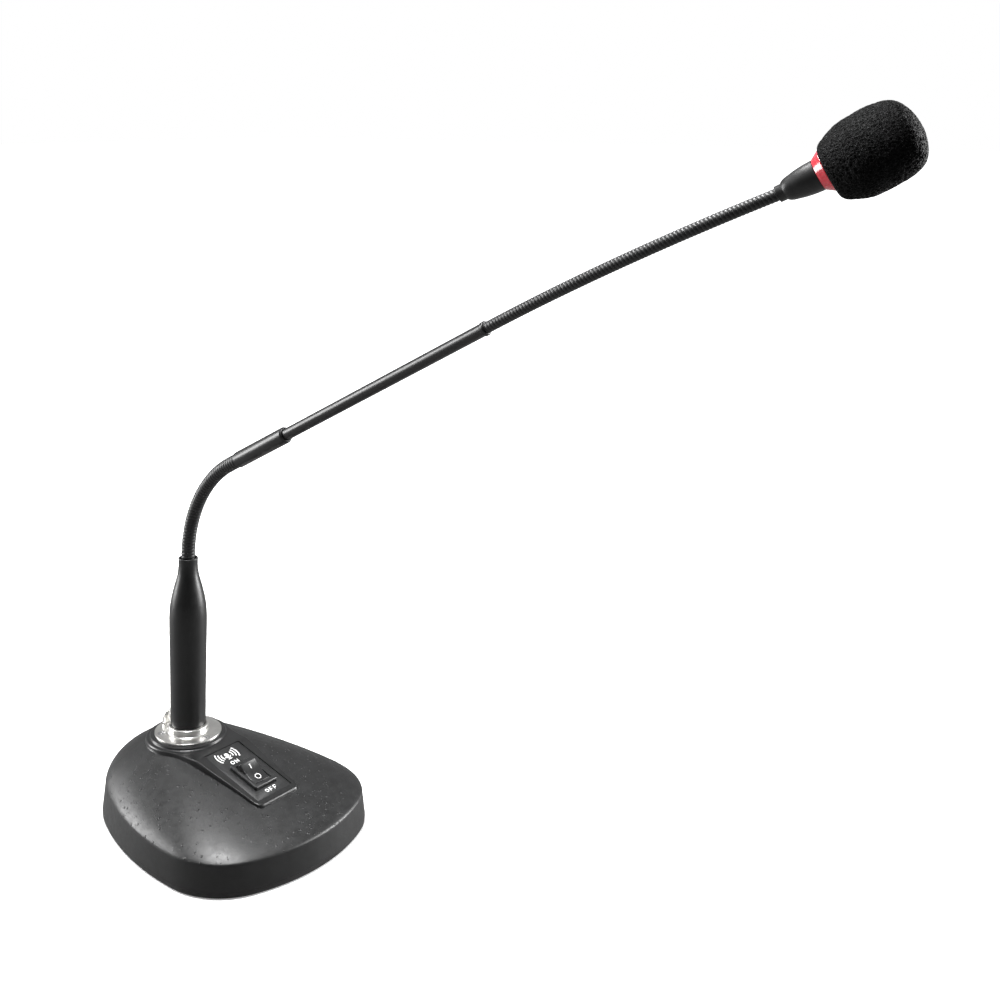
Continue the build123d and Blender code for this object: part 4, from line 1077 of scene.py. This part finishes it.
# ---------------- studio
AZIMUTH = radians(-49.4)
CAMERA_RIGHT = Vector((cos(AZIMUTH), sin(AZIMUTH), 0))
CAMERA_FORWARD = Vector((-sin(AZIMUTH), cos(AZIMUTH), 0))
CAMERA_PLACE = CAMERA_RIGHT * 113.0 - CAMERA_FORWARD * 725.6 + Vector((0, 0, 371.1))

camera_data = bpy.data.cameras.new("camera")
camera = linked("camera", camera_data)
camera.location = CAMERA_PLACE * MM
camera.rotation_mode = "XYZ"
camera.rotation_euler = (pi / 2, 0, AZIMUTH)
camera_data.sensor_width = 36
camera_data.lens = 48.6
camera_data.clip_start = 0.01
camera_data.clip_end = 50
bpy.context.scene.camera = camera
# The main view is a shifted-lens view. Other views turn the camera by quaternion, and need no
# shift: the rotation mode reads 0 there and 1 here, so it drives the shift.
for path, shift in (("shift_x", 0.1016), ("shift_y", -0.3897)):
    curve = camera_data.driver_add(path)
    curve.driver.type = "SUM"
    mode = curve.driver.variables.new()
    mode.targets[0].id = camera
    mode.targets[0].data_path = "rotation_mode"
    for modifier in list(curve.modifiers):
        curve.modifiers.remove(modifier)
    line = curve.modifiers.new("GENERATOR")
    line.coefficients = (0.0, shift)

floor_material = Nodes("floor")
seen = floor_material.wire("LightPath", "Is Camera Ray")
pale = floor_material.mix(floor_material.noise(60.0), grey(0.86), grey(0.88))
glow = floor_material.spread(floor_material.length(floor_material.place), 0.2, 0.9, 0.3, 1.3)
floor_material.set(
    Base_Color=floor_material.mix(seen, grey(0.16), pale), Roughness=0.7, Specular_IOR_Level=0.2,
    Emission_Color=grey(1.0), Emission_Strength=floor_material.combine(seen, glow))
FLOOR_REACH = 12.0
floor_mesh = bpy.data.meshes.new("floor")
corners = [(x * FLOOR_REACH, y * FLOOR_REACH, 0) for x, y in ((-1, -1), (1, -1), (1, 1), (-1, 1))]
floor_mesh.from_pydata(corners, [], [(0, 1, 2, 3)])
floor_mesh.materials.append(floor_material.material)
linked("floor", floor_mesh)


def softbox(name, towards, distance, size, power, aim):
    """Soft rectangular light in a direction from the aim point, unseen by the camera."""
    data = bpy.data.lights.new(name, "AREA")
    data.shape = "RECTANGLE"
    data.size, data.size_y = size
    data.energy = power
    obj = linked(name, data)
    towards = Vector(towards).normalized()
    obj.location = Vector(aim) + towards * distance
    upwards = CAMERA_FORWARD if towards.z > 0.8 else Vector((0, 0, 1))
    width = upwards.cross(towards).normalized()
    turn = Matrix((width, towards.cross(width), towards)).transposed()
    obj.rotation_mode = "QUATERNION"
    obj.rotation_quaternion = turn.to_quaternion()
    obj.visible_camera = False
    return obj


def from_camera(right, forward, up):
    return CAMERA_RIGHT * right + CAMERA_FORWARD * forward + Vector((0, 0, up))


middle = Vector((0.0, -0.10, 0.06))
softbox("key", from_camera(-0.10, 0.02, 1.0), 1.1, (0.26, 0.75), 27, middle)
softbox("left", from_camera(-1.0, 0.25, 0.3), 1.3, (0.45, 1.0), 22, middle)
softbox("right", from_camera(1.0, 0.3, 0.25), 1.3, (0.5, 1.0), 34, middle)

world = bpy.data.worlds.new("studio")
bpy.context.scene.world = world
world.use_nodes = True
tree = world.node_tree
background = tree.nodes["Background"]
place = tree.nodes.new("ShaderNodeTexCoord")
facing = tree.nodes.new("ShaderNodeVectorMath")
facing.operation = "DOT_PRODUCT"
facing.inputs[1].default_value = tuple(CAMERA_FORWARD)
tree.links.new(place.outputs["Generated"], facing.inputs[0])
fall = tree.nodes.new("ShaderNodeMapRange")
for key, number in (("From Min", -0.9), ("From Max", 0.6), ("To Min", 0.05), ("To Max", 0.34)):
    fall.inputs[key].default_value = number
tree.links.new(facing.outputs["Value"], fall.inputs["Value"])
rays = tree.nodes.new("ShaderNodeLightPath")
choice = tree.nodes.new("ShaderNodeMix")
choice.inputs["B"].default_value = 1.0
tree.links.new(rays.outputs["Is Camera Ray"], choice.inputs["Factor"])
tree.links.new(fall.outputs["Result"], choice.inputs["A"])
tree.links.new(choice.outputs["Result"], background.inputs["Strength"])
background.inputs["Color"].default_value = (1, 1, 1, 1)

bpy.context.scene.view_settings.view_transform = "Standard"
bpy.context.scene.view_settings.look = "None"
